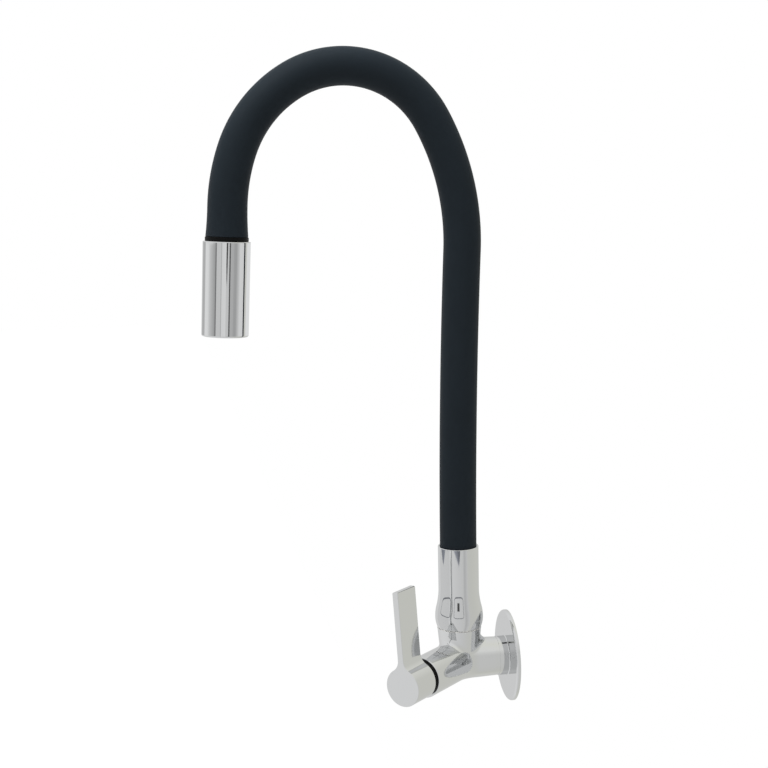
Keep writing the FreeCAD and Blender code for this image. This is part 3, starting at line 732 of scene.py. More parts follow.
def tube_profile(outer, bore, start, end, step):
    """Closed profile of a tube along its axis line: up its outside and down its bore."""
    count = max(int((end - start) / step), 1)
    return [
        line((outer, start), (outer, end), count),
        line((outer, end), (bore, end)),
        line((bore, end), (bore, start), max(count // BORE_COARSER, 1)),
        line((bore, start), (outer, start)),
    ]


def flared_end(radius, flare, start, end, step):
    """Sleeve's last stretch: a slight swell, a flare that grows with s squared, a round lip.

    The flare runs over the tail: radius = swollen + (flare - swollen) s s, for the share s.
    """
    widen = end - ROUTE_TAIL
    swollen = radius + HOSE_SWELL
    lip = (flare - radius) * HOSE_LIP_SHARE
    share = np.linspace(0, 1, int(ROUTE_TAIL / step) + 1)
    rise, length = flare - swollen, ROUTE_TAIL - lip
    bell = np.stack([swollen + rise * share ** 2, widen + length * share], 1)
    way = np.stack([2 * rise * share, np.full_like(share, length)], 1)
    return [
        line((radius, start), (swollen, widen), int((widen - start) / step)),
        (bell, way / np.linalg.norm(way, axis=1)[:, None]),
        arc((flare - lip, end - lip), lip, 0, 90, count=4),
        line((flare - lip, end), (HOSE_BORE, end)),
        line((HOSE_BORE, end), (HOSE_BORE, start), int((end - start) / step / BORE_COARSER)),
        line((HOSE_BORE, start), (radius, start)),
    ]


def bend_piece(made, bend):
    """Puts a finished stretch's place into its mesh; the route's points at its bend are worked out and not used.
    """
    points, _ = route(np.array(bend))
    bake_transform(made)


class TAP_OT_hose(bpy.types.Operator):
    """Black silicone sleeve in three stretches, cut between the spout's joints"""

    bl_idname = "wall_tap.hose"
    bl_label = "Hose sleeve"

    def execute(self, context):
        radius, flare = tap().hose_radius / MM, tap().end_flare / MM
        for (start, end), (part, places, bodies, bend) in zip(HOSE_SPLITS, HOSE_STRETCHES):
            start = start or HOSE_FOOT
            if end:
                profile = tube_profile(radius, HOSE_BORE, start, end, HOSE_STEP)
            else:
                profile = flared_end(radius, flare, start, route_length(), HOSE_STEP)
            made = piece("hose_sleeve_" + part, turned(profile, hose_axis))
            nodes = ["sleeve_" + place for place in places]
            settle(made, None, "black_silicone", *nodes)
            bend_piece(made, bend)
        return {"FINISHED"}


def wound_tube(outer, bore, start, end):
    """Gooseneck core: a tube whose skin is wound.

    Its radius is outer - depth (1 - |cos(pi (h / pitch - t / 2 pi))|), a round ridge that
    climbs by one pitch each turn; the depth fades out at both ends.
    """
    rows = int((end - start) / CORE_PITCH * CORE_STEPS_EACH_PITCH)
    height = np.linspace(start, end, rows + 1)
    turn = np.linspace(0, 2 * math.pi, CORE_AROUND + 1)
    fade = np.clip(np.minimum(height - start, end - height) / CORE_PITCH, 0, 1)
    phase = height[:, None] / CORE_PITCH - turn[None] / (2 * math.pi)
    radius = outer - CORE_GROOVE * fade[:, None] * (1 - np.abs(np.cos(math.pi * phase)))
    centre, side, up, _ = (part[:, None] for part in hose_axis(height))
    out = spokes(side, up, turn)
    rest = tube_profile(outer, bore, start, end, CORE_PITCH)[1:]
    return [(centre + radius[..., None] * out, out)] + turned(rest, hose_axis, turn)


class TAP_OT_hose_inside(bpy.types.Operator):
    """Wound steel core and water hose inside the sleeve"""

    bl_idname = "wall_tap.hose_inside"
    bl_label = "Hose core"

    def execute(self, context):
        inside_end = route_length() - HOSE_INSIDE_SHORT
        turn = np.linspace(0, 2 * math.pi, WATER_HOSE_AROUND + 1)
        layers = (
            ("core", CORE_FOOT, "gooseneck_steel"),
            ("water_hose", WATER_HOSE_FOOT, "water_hose_rubber"),
        )
        for layer, foot, slot in layers:
            for (start, end), (part, places, bodies, bend) in zip(HOSE_SPLITS, HOSE_STRETCHES):
                start, end = start or foot, end or inside_end
                if layer == "core":
                    patches = wound_tube(CORE_RADIUS, CORE_BORE, start, end)
                else:
                    profile = tube_profile(
                        WATER_HOSE_RADIUS, WATER_HOSE_BORE, start, end, WATER_HOSE_STEP)
                    patches = turned(profile, hose_axis, turn)
                made = piece("spout_" + layer + "_" + part, patches)
                nodes = [layer + "_" + place for place in places]
                settle(made, None, slot, *nodes)
                bend_piece(made, bend)
        return {"FINISHED"}


# Turned chrome

def collar_profile():
    """Foot, bulge and flare as three tangent arcs, a straight neck and a rounded mouth."""
    drop = BULGE_HEIGHT - COLLAR_FOOT
    lower = math.degrees(math.asin(drop / BULGE_LOWER_ARC))
    lower_centre = (BULGE_RADIUS - BULGE_LOWER_ARC, BULGE_HEIGHT)
    below = arc(lower_centre, BULGE_LOWER_ARC, -lower, 0, count=40)
    upper_centre = (BULGE_RADIUS - FLARE_ARC, BULGE_HEIGHT)
    above = arc(upper_centre, FLARE_ARC, 0, FLARE_SLOPE, count=50)
    slope = math.radians(FLARE_SLOPE)
    fall = above[0][-1][0] - COLLAR_RADIUS
    hollow = fall / (1 - math.cos(slope))
    centre = (COLLAR_RADIUS + hollow, above[0][-1][1] + hollow * math.sin(slope))
    flare = arc(centre, hollow, 180 + FLARE_SLOPE, 180, count=80)
    top = COLLAR_TOP - COLLAR_MOUTH_ROUND
    rim = COLLAR_RADIUS - COLLAR_MOUTH_ROUND
    return [
        below, above, flare,
        line(flare[0][-1], (COLLAR_RADIUS, top), count=12),
        arc((rim, top), COLLAR_MOUTH_ROUND, 0, 90, count=6),
    ] + lines(
        (rim, COLLAR_TOP),
        (COLLAR_BORE, COLLAR_TOP),
        (COLLAR_BORE, COLLAR_FOOT),
        below[0][0],
    )


class TAP_OT_collar(bpy.types.Operator):
    """Chromed spout collar with its bulge"""

    bl_idname = "wall_tap.collar"
    bl_label = "Spout collar"

    def execute(self, context):
        turn = np.linspace(0, 2 * math.pi, COLLAR_AROUND + 1)
        made = piece("chrome_collar", turned(collar_profile(), riser_axis, turn))
        settle(made, "spout_foot", "chromed_brass", "spout_collar")
        return {"FINISHED"}


def head_profile():
    """Straight barrel with a rounded top edge, a rounded mouth and the inner lip."""
    top = HEAD_RADIUS - HEAD_TOP_ROUND
    foot = HEAD_FOOT_RADIUS - HEAD_FOOT_ROUND
    low = HEAD_LENGTH - HEAD_FOOT_ROUND
    inner = HEAD_RADIUS - HEAD_WALL
    return [
        line((HEAD_STEM_BORE, 0), (top, 0)),
        arc((top, HEAD_TOP_ROUND), HEAD_TOP_ROUND, -90, 0),
        line((HEAD_RADIUS, HEAD_TOP_ROUND), (HEAD_FOOT_RADIUS, low), count=24),
        arc((foot, low), HEAD_FOOT_ROUND, 0, 90),
    ] + lines(
        (foot, HEAD_LENGTH),
        (HEAD_MOUTH, HEAD_LENGTH),
        (HEAD_MOUTH, HEAD_LIP_END),
        (HEAD_LIP_BORE, HEAD_LIP_END),
        (HEAD_LIP_BORE, HEAD_LIP_START + HEAD_WALL),
        (inner, HEAD_LIP_START),
        (inner, HEAD_WALL),
        (HEAD_STEM_BORE, HEAD_WALL),
        (HEAD_STEM_BORE, 0),
    )


def end_ring_profile():
    """Black ring above the head's top face, with rounded outer edges."""
    edge = END_RING_EDGE
    rim = END_RING_RADIUS - edge
    return [
        line((END_RING_BORE, -END_RING_THICK), (rim, -END_RING_THICK)),
        arc((rim, edge - END_RING_THICK), edge, -90, 0, count=4),
        line((END_RING_RADIUS, edge - END_RING_THICK), (END_RING_RADIUS, -edge)),
        arc((rim, -edge), edge, 0, 90, count=4),
    ] + lines((rim, 0), (END_RING_BORE, 0), (END_RING_BORE, -END_RING_THICK))


class TAP_OT_head(bpy.types.Operator):
    """Chromed spray head and the black ring above it"""

    bl_idname = "wall_tap.head"
    bl_label = "Spray head"

    def execute(self, context):
        axis = head_axis()
        shell = piece("chrome_head", turned(head_profile(), axis))
        settle(shell, "spout_head", "chromed_brass", "head_shell")
        band = piece("black_end_ring", turned(end_ring_profile(), axis))
        settle(band, "spout_head", "black_plastic", "end_ring")
        return {"FINISHED"}


def flange_profile():
    """Pressed disc with a rolled rim, hollow behind, and the collar it is drawn up into."""
    corner = (FLANGE_RADIUS - FLANGE_CORNER, FLANGE_DEPTH - FLANGE_CORNER)
    inner_round = FLANGE_CORNER - FLANGE_SHEET
    root = (FLANGE_COLLAR_RADIUS + EDGE_ROUND, FLANGE_DEPTH + EDGE_ROUND)
    rim = FLANGE_RADIUS - FLANGE_SHEET
    back = FLANGE_DEPTH - FLANGE_SHEET
    return lines(
        (rim, FLANGE_RIM_GAP),
        (FLANGE_RADIUS, FLANGE_RIM_GAP),
        (FLANGE_RADIUS, corner[1]),
    ) + [
        arc(corner, FLANGE_CORNER, 0, 90, count=10),
        line((corner[0], FLANGE_DEPTH), (root[0], FLANGE_DEPTH), count=6),
        arc(root, EDGE_ROUND, 270, 180),
    ] + lines(
        (FLANGE_COLLAR_RADIUS, root[1]),
        (FLANGE_COLLAR_RADIUS, SHOULDER_OUT),
        (FLANGE_BORE, SHOULDER_OUT),
        (FLANGE_BORE, back),
        (corner[0], back),
    ) + [
        arc(corner, inner_round, 90, 0),
        line((rim, corner[1]), (rim, FLANGE_RIM_GAP)),
    ]


class TAP_OT_flange(bpy.types.Operator):
    """Chromed wall flange"""

    bl_idname = "wall_tap.flange"
    bl_label = "Wall flange"

    def execute(self, context):
        made = piece("chrome_flange", turned(flange_profile(), inlet_axis))
        settle(made, "tap_body", "chromed_brass", "wall_flange")
        return {"FINISHED"}


class TAP_OT_gap_ring(bpy.types.Operator):
    """Black ring between the barrel and the lever"""

    bl_idname = "wall_tap.gap_ring"
    bl_label = "Gap ring"

    def execute(self, context):
        end = BARREL_END + GAP_RING_THICK
        profile = tube_profile(GAP_RING_RADIUS, GAP_RING_BORE, BARREL_END, end, GAP_RING_THICK)
        made = piece("black_gap_ring", turned(profile, barrel_axis))
        settle(made, "tap_body", "black_plastic", "gap_ring")
        return {"FINISHED"}


# Valve body

def tube_radius(length):
    """Radius of the body's tube: it widens evenly from the shoulder to the bend."""
    share = np.clip((length - SHOULDER_OUT) / (BEND_START - SHOULDER_OUT), 0, 1)
    return INLET_RADIUS + (BARREL_RADIUS - INLET_RADIUS) * share


def nearest_on_elbow(points):
    """Length along the body's axis line nearest to each point.

    Straight parts take the point's share along them. In the bend, the angle about the
    bend's centre gives the length.
    """
    x, y = points[:, 0] - ELBOW_RADIUS, points[:, 1] + BEND_START
    angle = np.arctan2(-y, -x)
    barrel = BARREL_ZERO + (points[:, :2] - FOOT[:2]) @ BARREL_WAY[:2]
    bend = BEND_START + ELBOW_RADIUS * angle
    return np.where(angle < 0, -points[:, 1], np.where(angle > BEND, barrel, bend))


def clear_of_tube(points):
    """Points' distance from the tube, the direction away from it, and the length there."""
    length = nearest_on_elbow(points)
    away = points - elbow_axis(length)[0]
    reach = np.linalg.norm(away, axis=1)
    return reach - tube_radius(length), away / reach[:, None], length


def level_ways(turn):
    """Level directions at each turn round the riser."""
    return np.stack([np.cos(turn), np.sin(turn), np.zeros_like(turn)], 1)


def ball_centres(turn, ball):
    """Centres of a ball that rolls round the riser's root, and its way out of the riser.

    On the riser's side it lies at radius r(h) + ball cos s and height h - ball sin s, with
    the cone's slope s; the height where it also touches the tube is found by halving.
    """
    slope = math.atan2(RISER_RADIUS - RISER_FOOT_RADIUS, RISER_HEIGHT)
    out = level_ways(turn)

    def centre(height):
        radius = RISER_FOOT_RADIUS + height * math.tan(slope) + ball * math.cos(slope)
        return FOOT + radius[:, None] * out + (height - ball * math.sin(slope))[:, None] * UP
    low, high = np.zeros_like(turn), np.full_like(turn, RISER_HEIGHT + ball)
    for _ in range(HALVINGS):
        middle = (low + high) / 2
        inside = clear_of_tube(centre(middle))[0] < ball
        low, high = np.where(inside, middle, low), np.where(inside, high, middle)
    return centre(low), math.cos(slope) * out - math.sin(slope) * UP


def elbow_angle(points, length):
    """Angle round the body's axis line, 0 straight up."""
    centre, side, up, _ = elbow_axis(length)
    away = points - centre
    return np.arctan2((away * up).sum(1), (away * side).sum(1))


def body_window():
    """Edge of the fillet's stretch of tube, unrolled: a rectangle of length and angle."""
    start, end = FILLET_STRETCH
    length = np.linspace(start, end, BODY_ALONG + 1)[:-1]
    angle = np.linspace(-math.pi, math.pi, BODY_AROUND + 1)[:-1]
    ones_along, ones_round = np.ones_like(length), np.ones_like(angle)
    lengths = [ones_round * end, length[::-1] + (end - start) / BODY_ALONG,
               ones_round * start, length]
    angles = [angle, ones_along * math.pi, -angle, -ones_along * math.pi]
    lengths, angles = np.concatenate(lengths), np.concatenate(angles)
    return np.append(lengths, lengths[0]), np.append(angles, angles[0])


def turns_for(lengths, angles, ball):
    """Turn round the riser that faces each point of the window's edge.

    Both are seen from the window's middle in the unrolled tube. The fillet's edge is tried
    at even turns, and the turn for each point lies between the two nearest tries.
    """
    tried = np.linspace(-math.pi, math.pi, TURNS_TRIED + 1)
    centres, _ = ball_centres(tried, ball)
    _, _, edge_length = clear_of_tube(centres)
    edge_angle = elbow_angle(centres, edge_length)
    middle = sum(FILLET_STRETCH) / 2
    around = np.unwrap(np.arctan2(-edge_angle * BARREL_RADIUS, edge_length - middle))
    wanted = np.arctan2(-angles * BARREL_RADIUS, lengths - middle)
    order = np.argsort(around)
    first = around[order[0]]
    wanted = first + np.mod(wanted - first, 2 * math.pi)
    turn = np.interp(wanted, around[order], tried[order])
    turn[-1] = turn[0]
    return turn


def tube_patch(first, last):
    """Body's tube between two edges, each given by its lengths and angles."""
    share = np.linspace(0, 1, TUBE_STEPS + 1)[:, None]
    length, angle = (a * (1 - share) + b * share for a, b in zip(first, last))
    centre, side, up, _ = elbow_axis(length.ravel())
    out = spokes(side, up, angle.ravel())
    tube = centre + tube_radius(length.ravel())[:, None] * out
    shape = (*length.shape, 3)
    return tube.reshape(shape), out.reshape(shape)


def fillet_patch(centres, ball, from_tube, from_riser):
    """Arcs about the ball's centres, from where it touches the tube to the riser."""
    apart = np.arccos(np.clip((from_tube * from_riser).sum(1), -1, 1))
    share = np.linspace(0, 1, FILLET_STEPS + 1)[:, None]
    near = np.sin((1 - share) * apart) / np.sin(apart)
    far = np.sin(share * apart) / np.sin(apart)
    out = near[..., None] * from_tube + far[..., None] * from_riser
    return centres[None] - ball * out, out


def body_skin(ball):
    """Tube, root fillet and riser as three tangent grids, and the riser's turns.

    The fillet is the path of a ball rolled round the riser's root: for each direction t
    round the riser, an arc about the ball's centre from the tube to the riser. The tube is
    the unrolled rectangle less the fillet's edge, ruled between the two.
    """
    window = body_window()
    turn = turns_for(*window, ball)
    centres, from_riser = ball_centres(turn, ball)
    _, from_tube, length = clear_of_tube(centres)
    tube = tube_patch((length, elbow_angle(centres, length)), window)
    fillet = fillet_patch(centres, ball, from_tube, from_riser)
    top = FOOT + RISER_RADIUS * level_ways(turn) + RISER_HEIGHT * UP
    riser = ruled(centres - ball * from_riser, top, from_riser[None], rows=6)
    return [tube, fillet, riser], turn


def thread_patch(turn):
    """Pipe thread on the shank.

    Radius = root + depth tooth(h / pitch - t / 2 pi), where tooth is a wave cut flat at its
    crest and root; a taper at the tip and a runout at the root bring it to plain circles.
    """
    tip, root = -THREAD_LENGTH, -THREAD_RUNOUT
    height = np.linspace(tip, root, THREAD_STEPS + 1)
    phase = np.mod(height[:, None] / THREAD_PITCH - turn[None] / (2 * math.pi), 1)
    tooth = np.clip(TOOTH_PEAK - TOOTH_SLOPE * np.abs(phase - 0.5), *TOOTH_FLATS)
    radius = THREAD_ROOT + (THREAD_RADIUS - THREAD_ROOT) * tooth
    taper = THREAD_ROOT + (height - tip) * THREAD_TAPER
    fade = np.clip((height - root) / THREAD_FADE + 1, 0, 1)
    close = THREAD_RADIUS - (THREAD_RADIUS - SHANK_RADIUS) * fade
    radius = np.minimum(radius, np.minimum(taper, close)[:, None])
    radius = np.maximum(radius, (SHANK_RADIUS * fade)[:, None])
    centre, side, up, along = (part[:, None] for part in elbow_axis(height))
    out = spokes(side, up, turn)
    normals = out - np.gradient(radius, height, axis=0)[..., None] * along
    normals /= np.linalg.norm(normals, axis=2, keepdims=True)
    return centre + radius[..., None] * out, normals


def body_profile():
    """Runs round the body's axis line on both sides of the fillet's stretch."""
    start, end = FILLET_STRETCH
    last, floor = BARREL_ZERO + BARREL_END, BARREL_ZERO + CHAMBER_FLOOR
    edge, rim = last - EDGE_ROUND, BARREL_RADIUS - EDGE_ROUND
    return lines(
        (0.0, INLET_BORE_DEPTH),
        (INLET_BORE, INLET_BORE_DEPTH),
        (INLET_BORE, -THREAD_LENGTH),
        (THREAD_ROOT, -THREAD_LENGTH),
    ) + lines(
        (SHANK_RADIUS, -THREAD_RUNOUT),
        (SHANK_RADIUS, SHOULDER_OUT),
        (INLET_RADIUS, SHOULDER_OUT),
    ) + [
        line((INLET_RADIUS, SHOULDER_OUT), (tube_radius(start), start), count=6),
        line((BARREL_RADIUS, end), (BARREL_RADIUS, edge), count=30),
        arc((rim, edge), EDGE_ROUND, 0, 90),
    ] + lines(
        (rim, last),
        (CHAMBER_RADIUS, last),
        (CHAMBER_RADIUS, floor),
        (0.0, floor),
    )


class TAP_OT_body(bpy.types.Operator):
    """Cast valve body: inlet with its thread, bend, barrel, root fillet and riser"""

    bl_idname = "wall_tap.body"
    bl_label = "Valve body"

    def execute(self, context):
        skin, riser_turn = body_skin(tap().fillet / MM)
        turn = np.linspace(-math.pi, math.pi, BODY_AROUND + 1)
        neck = lines(
            (RISER_RADIUS, RISER_HEIGHT),
            (NECK_RADIUS, RISER_HEIGHT),
            (NECK_RADIUS, NECK_TOP),
            (NECK_BORE, NECK_TOP),
            (NECK_BORE, NECK_FLOOR),
            (0.0, NECK_FLOOR),
        )
        patches = skin + turned(body_profile(), elbow_axis, turn)
        patches += [thread_patch(turn)] + turned(neck, riser_axis, riser_turn)
        made = piece("chrome_body", patches)
        settle(made, "tap_body", "chromed_brass", "valve_body")
        return {"FINISHED"}


# Lever

def lever_outline():
    """Keyhole outline of hub, fillets and blade: points, outward normals, blade's foot."""
    half = BLADE_THICK / 2
    side = half + BLADE_FILLET
    height = math.sqrt((HUB_RADIUS + BLADE_FILLET) ** 2 - side ** 2)
    away = math.degrees(math.atan2(height, side))
    top = BLADE_TOP - BLADE_CORNER
    inside = half - BLADE_CORNER
    runs = [
        arc((0, 0), HUB_RADIUS, 180 - away, 360 + away, count=96),
        arc((side, height), BLADE_FILLET, 180 + away, 180, count=20),
        line((half, height), (half, top), count=30),
        arc((inside, top), BLADE_CORNER, 0, 90),
        line((inside, BLADE_TOP), (-inside, BLADE_TOP), count=2),
        arc((-inside, top), BLADE_CORNER, 90, 180),
        line((-half, top), (-half, height), count=30),
        arc((-side, height), BLADE_FILLET, 0, -away, count=20),
    ]
    points = np.concatenate([run[:-1] for run, _ in runs] + [runs[0][0][:1]])
    ways = np.concatenate([way[:-1] for _, way in runs] + [runs[0][1][:1]])
    return points, np.stack([ways[:, 1], -ways[:, 0]], 1), height


def in_lever(x, y, depth):
    """Points of the lever's own plane and depth, turned by its lean into the frame."""
    lean = math.radians(LEVER_LEAN)
    side = np.cross(UP, BARREL_WAY)
    right = math.cos(lean) * side + math.sin(lean) * UP
    upright = -math.sin(lean) * side + math.cos(lean) * UP
    return (FOOT + x[..., None] * right + y[..., None] * upright
            + depth[..., None] * BARREL_WAY)


def lever_rim(outline, out):
    """Outline carried from the lever's back to its front, with both edges rounded."""
    edge = LEVER_EDGE_ROUND
    origin = in_lever(*np.zeros((3, 1)))
    out_way = in_lever(out[:, 0], out[:, 1], np.zeros(len(out))) - origin
    patches = []
    for run, way in (
        arc((-edge, HUB_START + edge), edge, -90, 0, count=6),
        line((0, HUB_START + edge), (0, HUB_END - edge), count=8),
        arc((-edge, HUB_END - edge), edge, 0, 90, count=6),
    ):
        inset, depth = run[:, 0, None], run[:, 1, None]
        x = outline[:, 0] + inset * out[:, 0]
        y = outline[:, 1] + inset * out[:, 1]
        normals = way[:, 1, None, None] * out_way[None] - way[:, 0, None, None] * BARREL_WAY
        patches.append((in_lever(x, y, np.broadcast_to(depth, x.shape)), normals))
    return patches


def lever_faces(outline, out, blade_foot):
    """Front face, ruled to a spine up the blade, and back face, ruled to the hub's hole."""
    inner = outline - LEVER_EDGE_ROUND * out
    flat = np.zeros(len(out))
    top = BLADE_TOP - BLADE_CORNER
    front = in_lever(inner[:, 0], inner[:, 1], flat + HUB_END)
    spine = in_lever(flat, np.clip(inner[:, 1], 0, top), flat + HUB_END)
    hole = HUB_RADIUS - HUB_WALL
    angle = np.unwrap(np.arctan2(outline[:, 1], outline[:, 0]))
    on_blade = outline[:, 1] > blade_foot - SAME_POINT
    angle = np.where(on_blade, math.pi / 2 + 2 * math.pi * (angle > math.pi), angle)
    climb = np.clip((outline[:, 1] - blade_foot) / (BLADE_TOP - blade_foot), 0, 1)
    x, y = hole * np.cos(angle), hole * np.sin(angle) + climb * (top - hole)
    back = in_lever(inner[:, 0], inner[:, 1], flat + HUB_START)
    seam = in_lever(x, y, flat + HUB_START)
    return [ruled(front, spine, BARREL_WAY), ruled(back, seam, -BARREL_WAY)]


class TAP_OT_lever(bpy.types.Operator):
    """Lever: hub and blade in one, with rounded edges and a hollow hub"""

    bl_idname = "wall_tap.lever"
    bl_label = "Lever"

    def execute(self, context):
        outline, out, blade_foot = lever_outline()
        hole = HUB_RADIUS - HUB_WALL
        hollow = lines((hole, HUB_FLOOR), (hole, HUB_START))
        hollow.append(line((0.0, HUB_FLOOR), (hole, HUB_FLOOR)))
        patches = lever_rim(outline, out) + lever_faces(outline, out, blade_foot)
        patches += turned(hollow, barrel_axis, np.linspace(0, 2 * math.pi, len(out)))
        made = piece("chrome_lever", patches)
        settle(made, "lever_group", "chromed_brass", "lever")
        return {"FINISHED"}


# Finishes of the CAD pieces that stay

class TAP_OT_finishes(bpy.types.Operator):
    """Finish of every CAD piece, from its slot in the record"""

    bl_idname = "wall_tap.finishes"
    bl_label = "Finishes"

    def execute(self, context):
        for subpart in frame["record"]["subparts"]:
            skin = frame["nodes"][subpart["node"]].data.materials
            skin.clear()
            skin.append(SLOT_FINISHES[subpart["material_slot"]]())
        return {"FINISHED"}


# Stage: the lamps have their place and then their size, in metres

LAMPS_AIM = (0.0, -0.1, 0.19)
KEY_LIGHT = ((0.15, -0.45, 1.25), 0.9)
FILL_LIGHT = ((0.5, 1.0, 0.6), 0.8)
SHEET_REACH = 6000.0
FLOOR_GLOW, FLOOR_GLOW_SHARE = 1.19, 0.8


def camera_axes():
    """Right, up and back directions of the fitted camera, from its pitch, yaw and roll."""
    pitch, yaw, roll = (math.radians(a) for a in (CAMERA_PITCH, CAMERA_YAW, CAMERA_ROLL))
    back = np.array((math.cos(yaw) * math.cos(pitch), -math.sin(yaw) * math.cos(pitch),
                     math.sin(pitch)))
    right = np.array((math.sin(yaw), math.cos(yaw), 0.0))
    up = np.cross(back, right)
    return (math.cos(roll) * right + math.sin(roll) * up,
            math.cos(roll) * up - math.sin(roll) * right, back)


def camera_spot():
    """Where the camera stands to see the riser's foot at its own pixel."""
    right, up, back = camera_axes()
    across = (FOOT_PIXEL[0] - PICTURE / 2) / FOCAL_PIXELS * CAMERA_DISTANCE
    above = (PICTURE / 2 - FOOT_PIXEL[1]) / FOCAL_PIXELS * CAMERA_DISTANCE
    return FOOT - across * right - above * up + CAMERA_DISTANCE * back


def place_camera():
    """Camera at the photograph's place, turned and zoomed as it was."""
    right, up, back = camera_axes()
    data = bpy.data.cameras.new("camera")
    data.sensor_width = SENSOR
    data.lens = FOCAL_PIXELS * SENSOR / PICTURE
    made = bpy.data.objects.new("camera", data)
    bpy.context.scene.collection.objects.link(made)
    turn = Matrix(np.stack([right, up, back], 1).tolist()).to_4x4()
    made.matrix_world = Matrix.Translation(Vector(camera_spot() * MM)) @ turn
    bpy.context.scene.camera = made


def soft_light(name, spot, size, power):
    """Square area light at a spot that points at the tap's middle."""
    data = bpy.data.lights.new(name, "AREA")
    data.size = size
    data.energy = power
    made = bpy.data.objects.new(name, data)
    made.location = spot
    made.rotation_mode = "QUATERNION"
    made.rotation_quaternion = (Vector(spot) - Vector(LAMPS_AIM)).to_track_quat("Z", "Y")
    made.visible_glossy = False
    bpy.context.scene.collection.objects.link(made)


def shown_rays(tree):
    """Output that is 1 for camera, reflection and transmission rays and 0 for all others."""
    path = add_node(tree, "ShaderNodeLightPath")
    seen = add_node(tree, "ShaderNodeMath", operation="ADD")
    shown = add_node(tree, "ShaderNodeMath", operation="ADD", use_clamp=True)
    wire(
        tree,
        (path, "Is Camera Ray", seen, 0),
        (path, "Is Glossy Ray", seen, 1),
        (seen, "Value", shown, 0),
        (path, "Is Transmission Ray", shown, 1),
    )
    return shown


def white_surroundings(level):
    """World that is white to the camera and in reflections, and a plain level on matt skin."""
    world = bpy.data.worlds.new("studio")
    bpy.context.scene.world = world
    world.use_nodes = True
    tree = world.node_tree
    shade = tree.nodes["Background"]
    shade.inputs["Color"].default_value = (1, 1, 1, 1)
    strength = add_node(tree, "ShaderNodeMapRange", values={"To Min": level, "To Max": 1.0})
    wire(
        tree,
        (shown_rays(tree), "Value", strength, "Value"),
        (strength, "Result", shade, "Strength"),
    )


# Cards that stand round the tap and paint reflections: each shows only in the reflections of
# the piece it is made for, as dark or pale streaks, frames and marks. Directions are in degrees
# as seen from the piece that shows them: to the right of the way to the camera, and up. Each
# strip has its left and right edge at its top, then at its foot, its top, its foot, and its
# tone at the left and at the right, where 1 is the room's own tone. A window has its left
# and right edge. NEAR, MIDDLE and FAR are the cards' distances. Each card shows only to rays
# that have come as far as its own distance, give or take the slack, from above its lowest
# height.
NEAR, MIDDLE, FAR = 380.0, 400.0, 600.0
REACH_SLACK = 25.0
COLLAR_LOWEST, FLARE_LOWEST = 23.9, 38.0
NECK_LOWEST, HEAD_LOWEST = 60.0, 150.0
COLLAR_MIDDLE = FOOT + 60.0 * UP
COOL_GREY = (0.92, 0.96, 1.08)
NEUTRAL = (1.0, 1.0, 1.0)
# Painted reflections on the spray head: upright bands, darker or paler than the room's tone
HEAD_STRIPS = (
    (-147, -118, -147, -118, 4, -12, 0.85, 0.85),
    (-118, -95, -118, -95, 4, -12, 1.36, 1.31),
    (-95, -82, -95, -82, 4, -12, 1.31, 1.0),
    (-82, -53, -82, -53, 4, -12, 1.0, 0.62),
    (-53, -47, -53, -47, 4, -12, 0.34, 0.34),
    (-47, -25, -47, -25, 4, -12, 1.02, 1.05),
    (-25, -21, -25, -21, 4, -12, 0.8, 0.8),
    (-21, 0, -21, 0, 4, -12, 1.2, 1.25),
    (-5, 9, 2, 5, 4, -3, 0.12, 0.12),
    (14, 20, 14, 20, 4, -12, 0.16, 0.16),
    (20, 36, 20, 36, 4, -12, 0.8, 0.76),
    (36, 48, 36, 48, 4, -12, 0.68, 0.64),
    (48, 68, 48, 68, 4, -12, 0.64, 1.15),
    (68, 102, 68, 102, 4, -12, 1.22, 1.15),
    (114, 165, 114, 165, 4, -12, 1.4, 1.55),
)
# Painted reflections on the collar's neck: dark wedges
NECK_WEDGES = (
    (-112, -74, -96, -90, -10.8, -13.3, 0.35, 0.5),
    (-29, 12, 1, 5, -10.8, -13.2, 0.6, 0.2),
)
# Painted reflections on the collar: upright bands of shade and one thin dark line
COLLAR_STRIPS = (
    (-125, -50, -125, -50, 12, -58, 1.08, 1.02),
    (-34, -31, -43, -39, 12, -30, 0.4, 0.4),
    (24, 33, 26, 35, 12, -58, 1.0, 0.8),
    (33, 50, 35, 52, 12, -58, 0.8, 1.0),
)
# Painted reflection of the camera's lens: a small dark mark on the collar's flare
PAINTED_LENS_REFLECTION = (-8, 3, -8, 3, 14, -3, 0.12, 0.12)
# Painted reflections of two soft lamps' dark frames on the collar: edges, height, corners, bar and tone
WINDOWS = ((-100, -44), (-25, 23))
WINDOW_BOTTOM, WINDOW_TOP = -11.0, 13.0
WINDOW_CORNER = (12.0, 5.0)
WINDOW_BAR, WINDOW_TONE = 1.6, 0.25

# Round room that reflections show behind the cards
ROOM_RADIUS, ROOM_TOP = 900.0, 1000.0
ROOM_PALES, ROOM_CEILING = 350.0, 0.88
ROOM_MIDDLE, ROOM_SWING, ROOM_WARMTH = 1.125, 0.1, 0.07
ROOM_GAP, ROOM_HOLE = 1.0, 1.0
ROOM_AROUND, ROOM_ROWS = 96, 40


def around_piece(centre, reach, across, above):
    """Points that lie in given directions from a piece.

    Point = centre + reach (cos above (cos across t + sin across s) + sin above up), where t
    points level to the camera and s level to its right.
    """
    toward = camera_spot() - centre
    toward[2] = 0
    toward /= np.linalg.norm(toward)
    aside = np.cross(UP, toward)
    across, above = np.radians(across), np.radians(above)
    level = np.cos(across)[..., None] * toward + np.sin(across)[..., None] * aside
    return centre + reach * (np.cos(above)[..., None] * level + np.sin(above)[..., None] * UP)
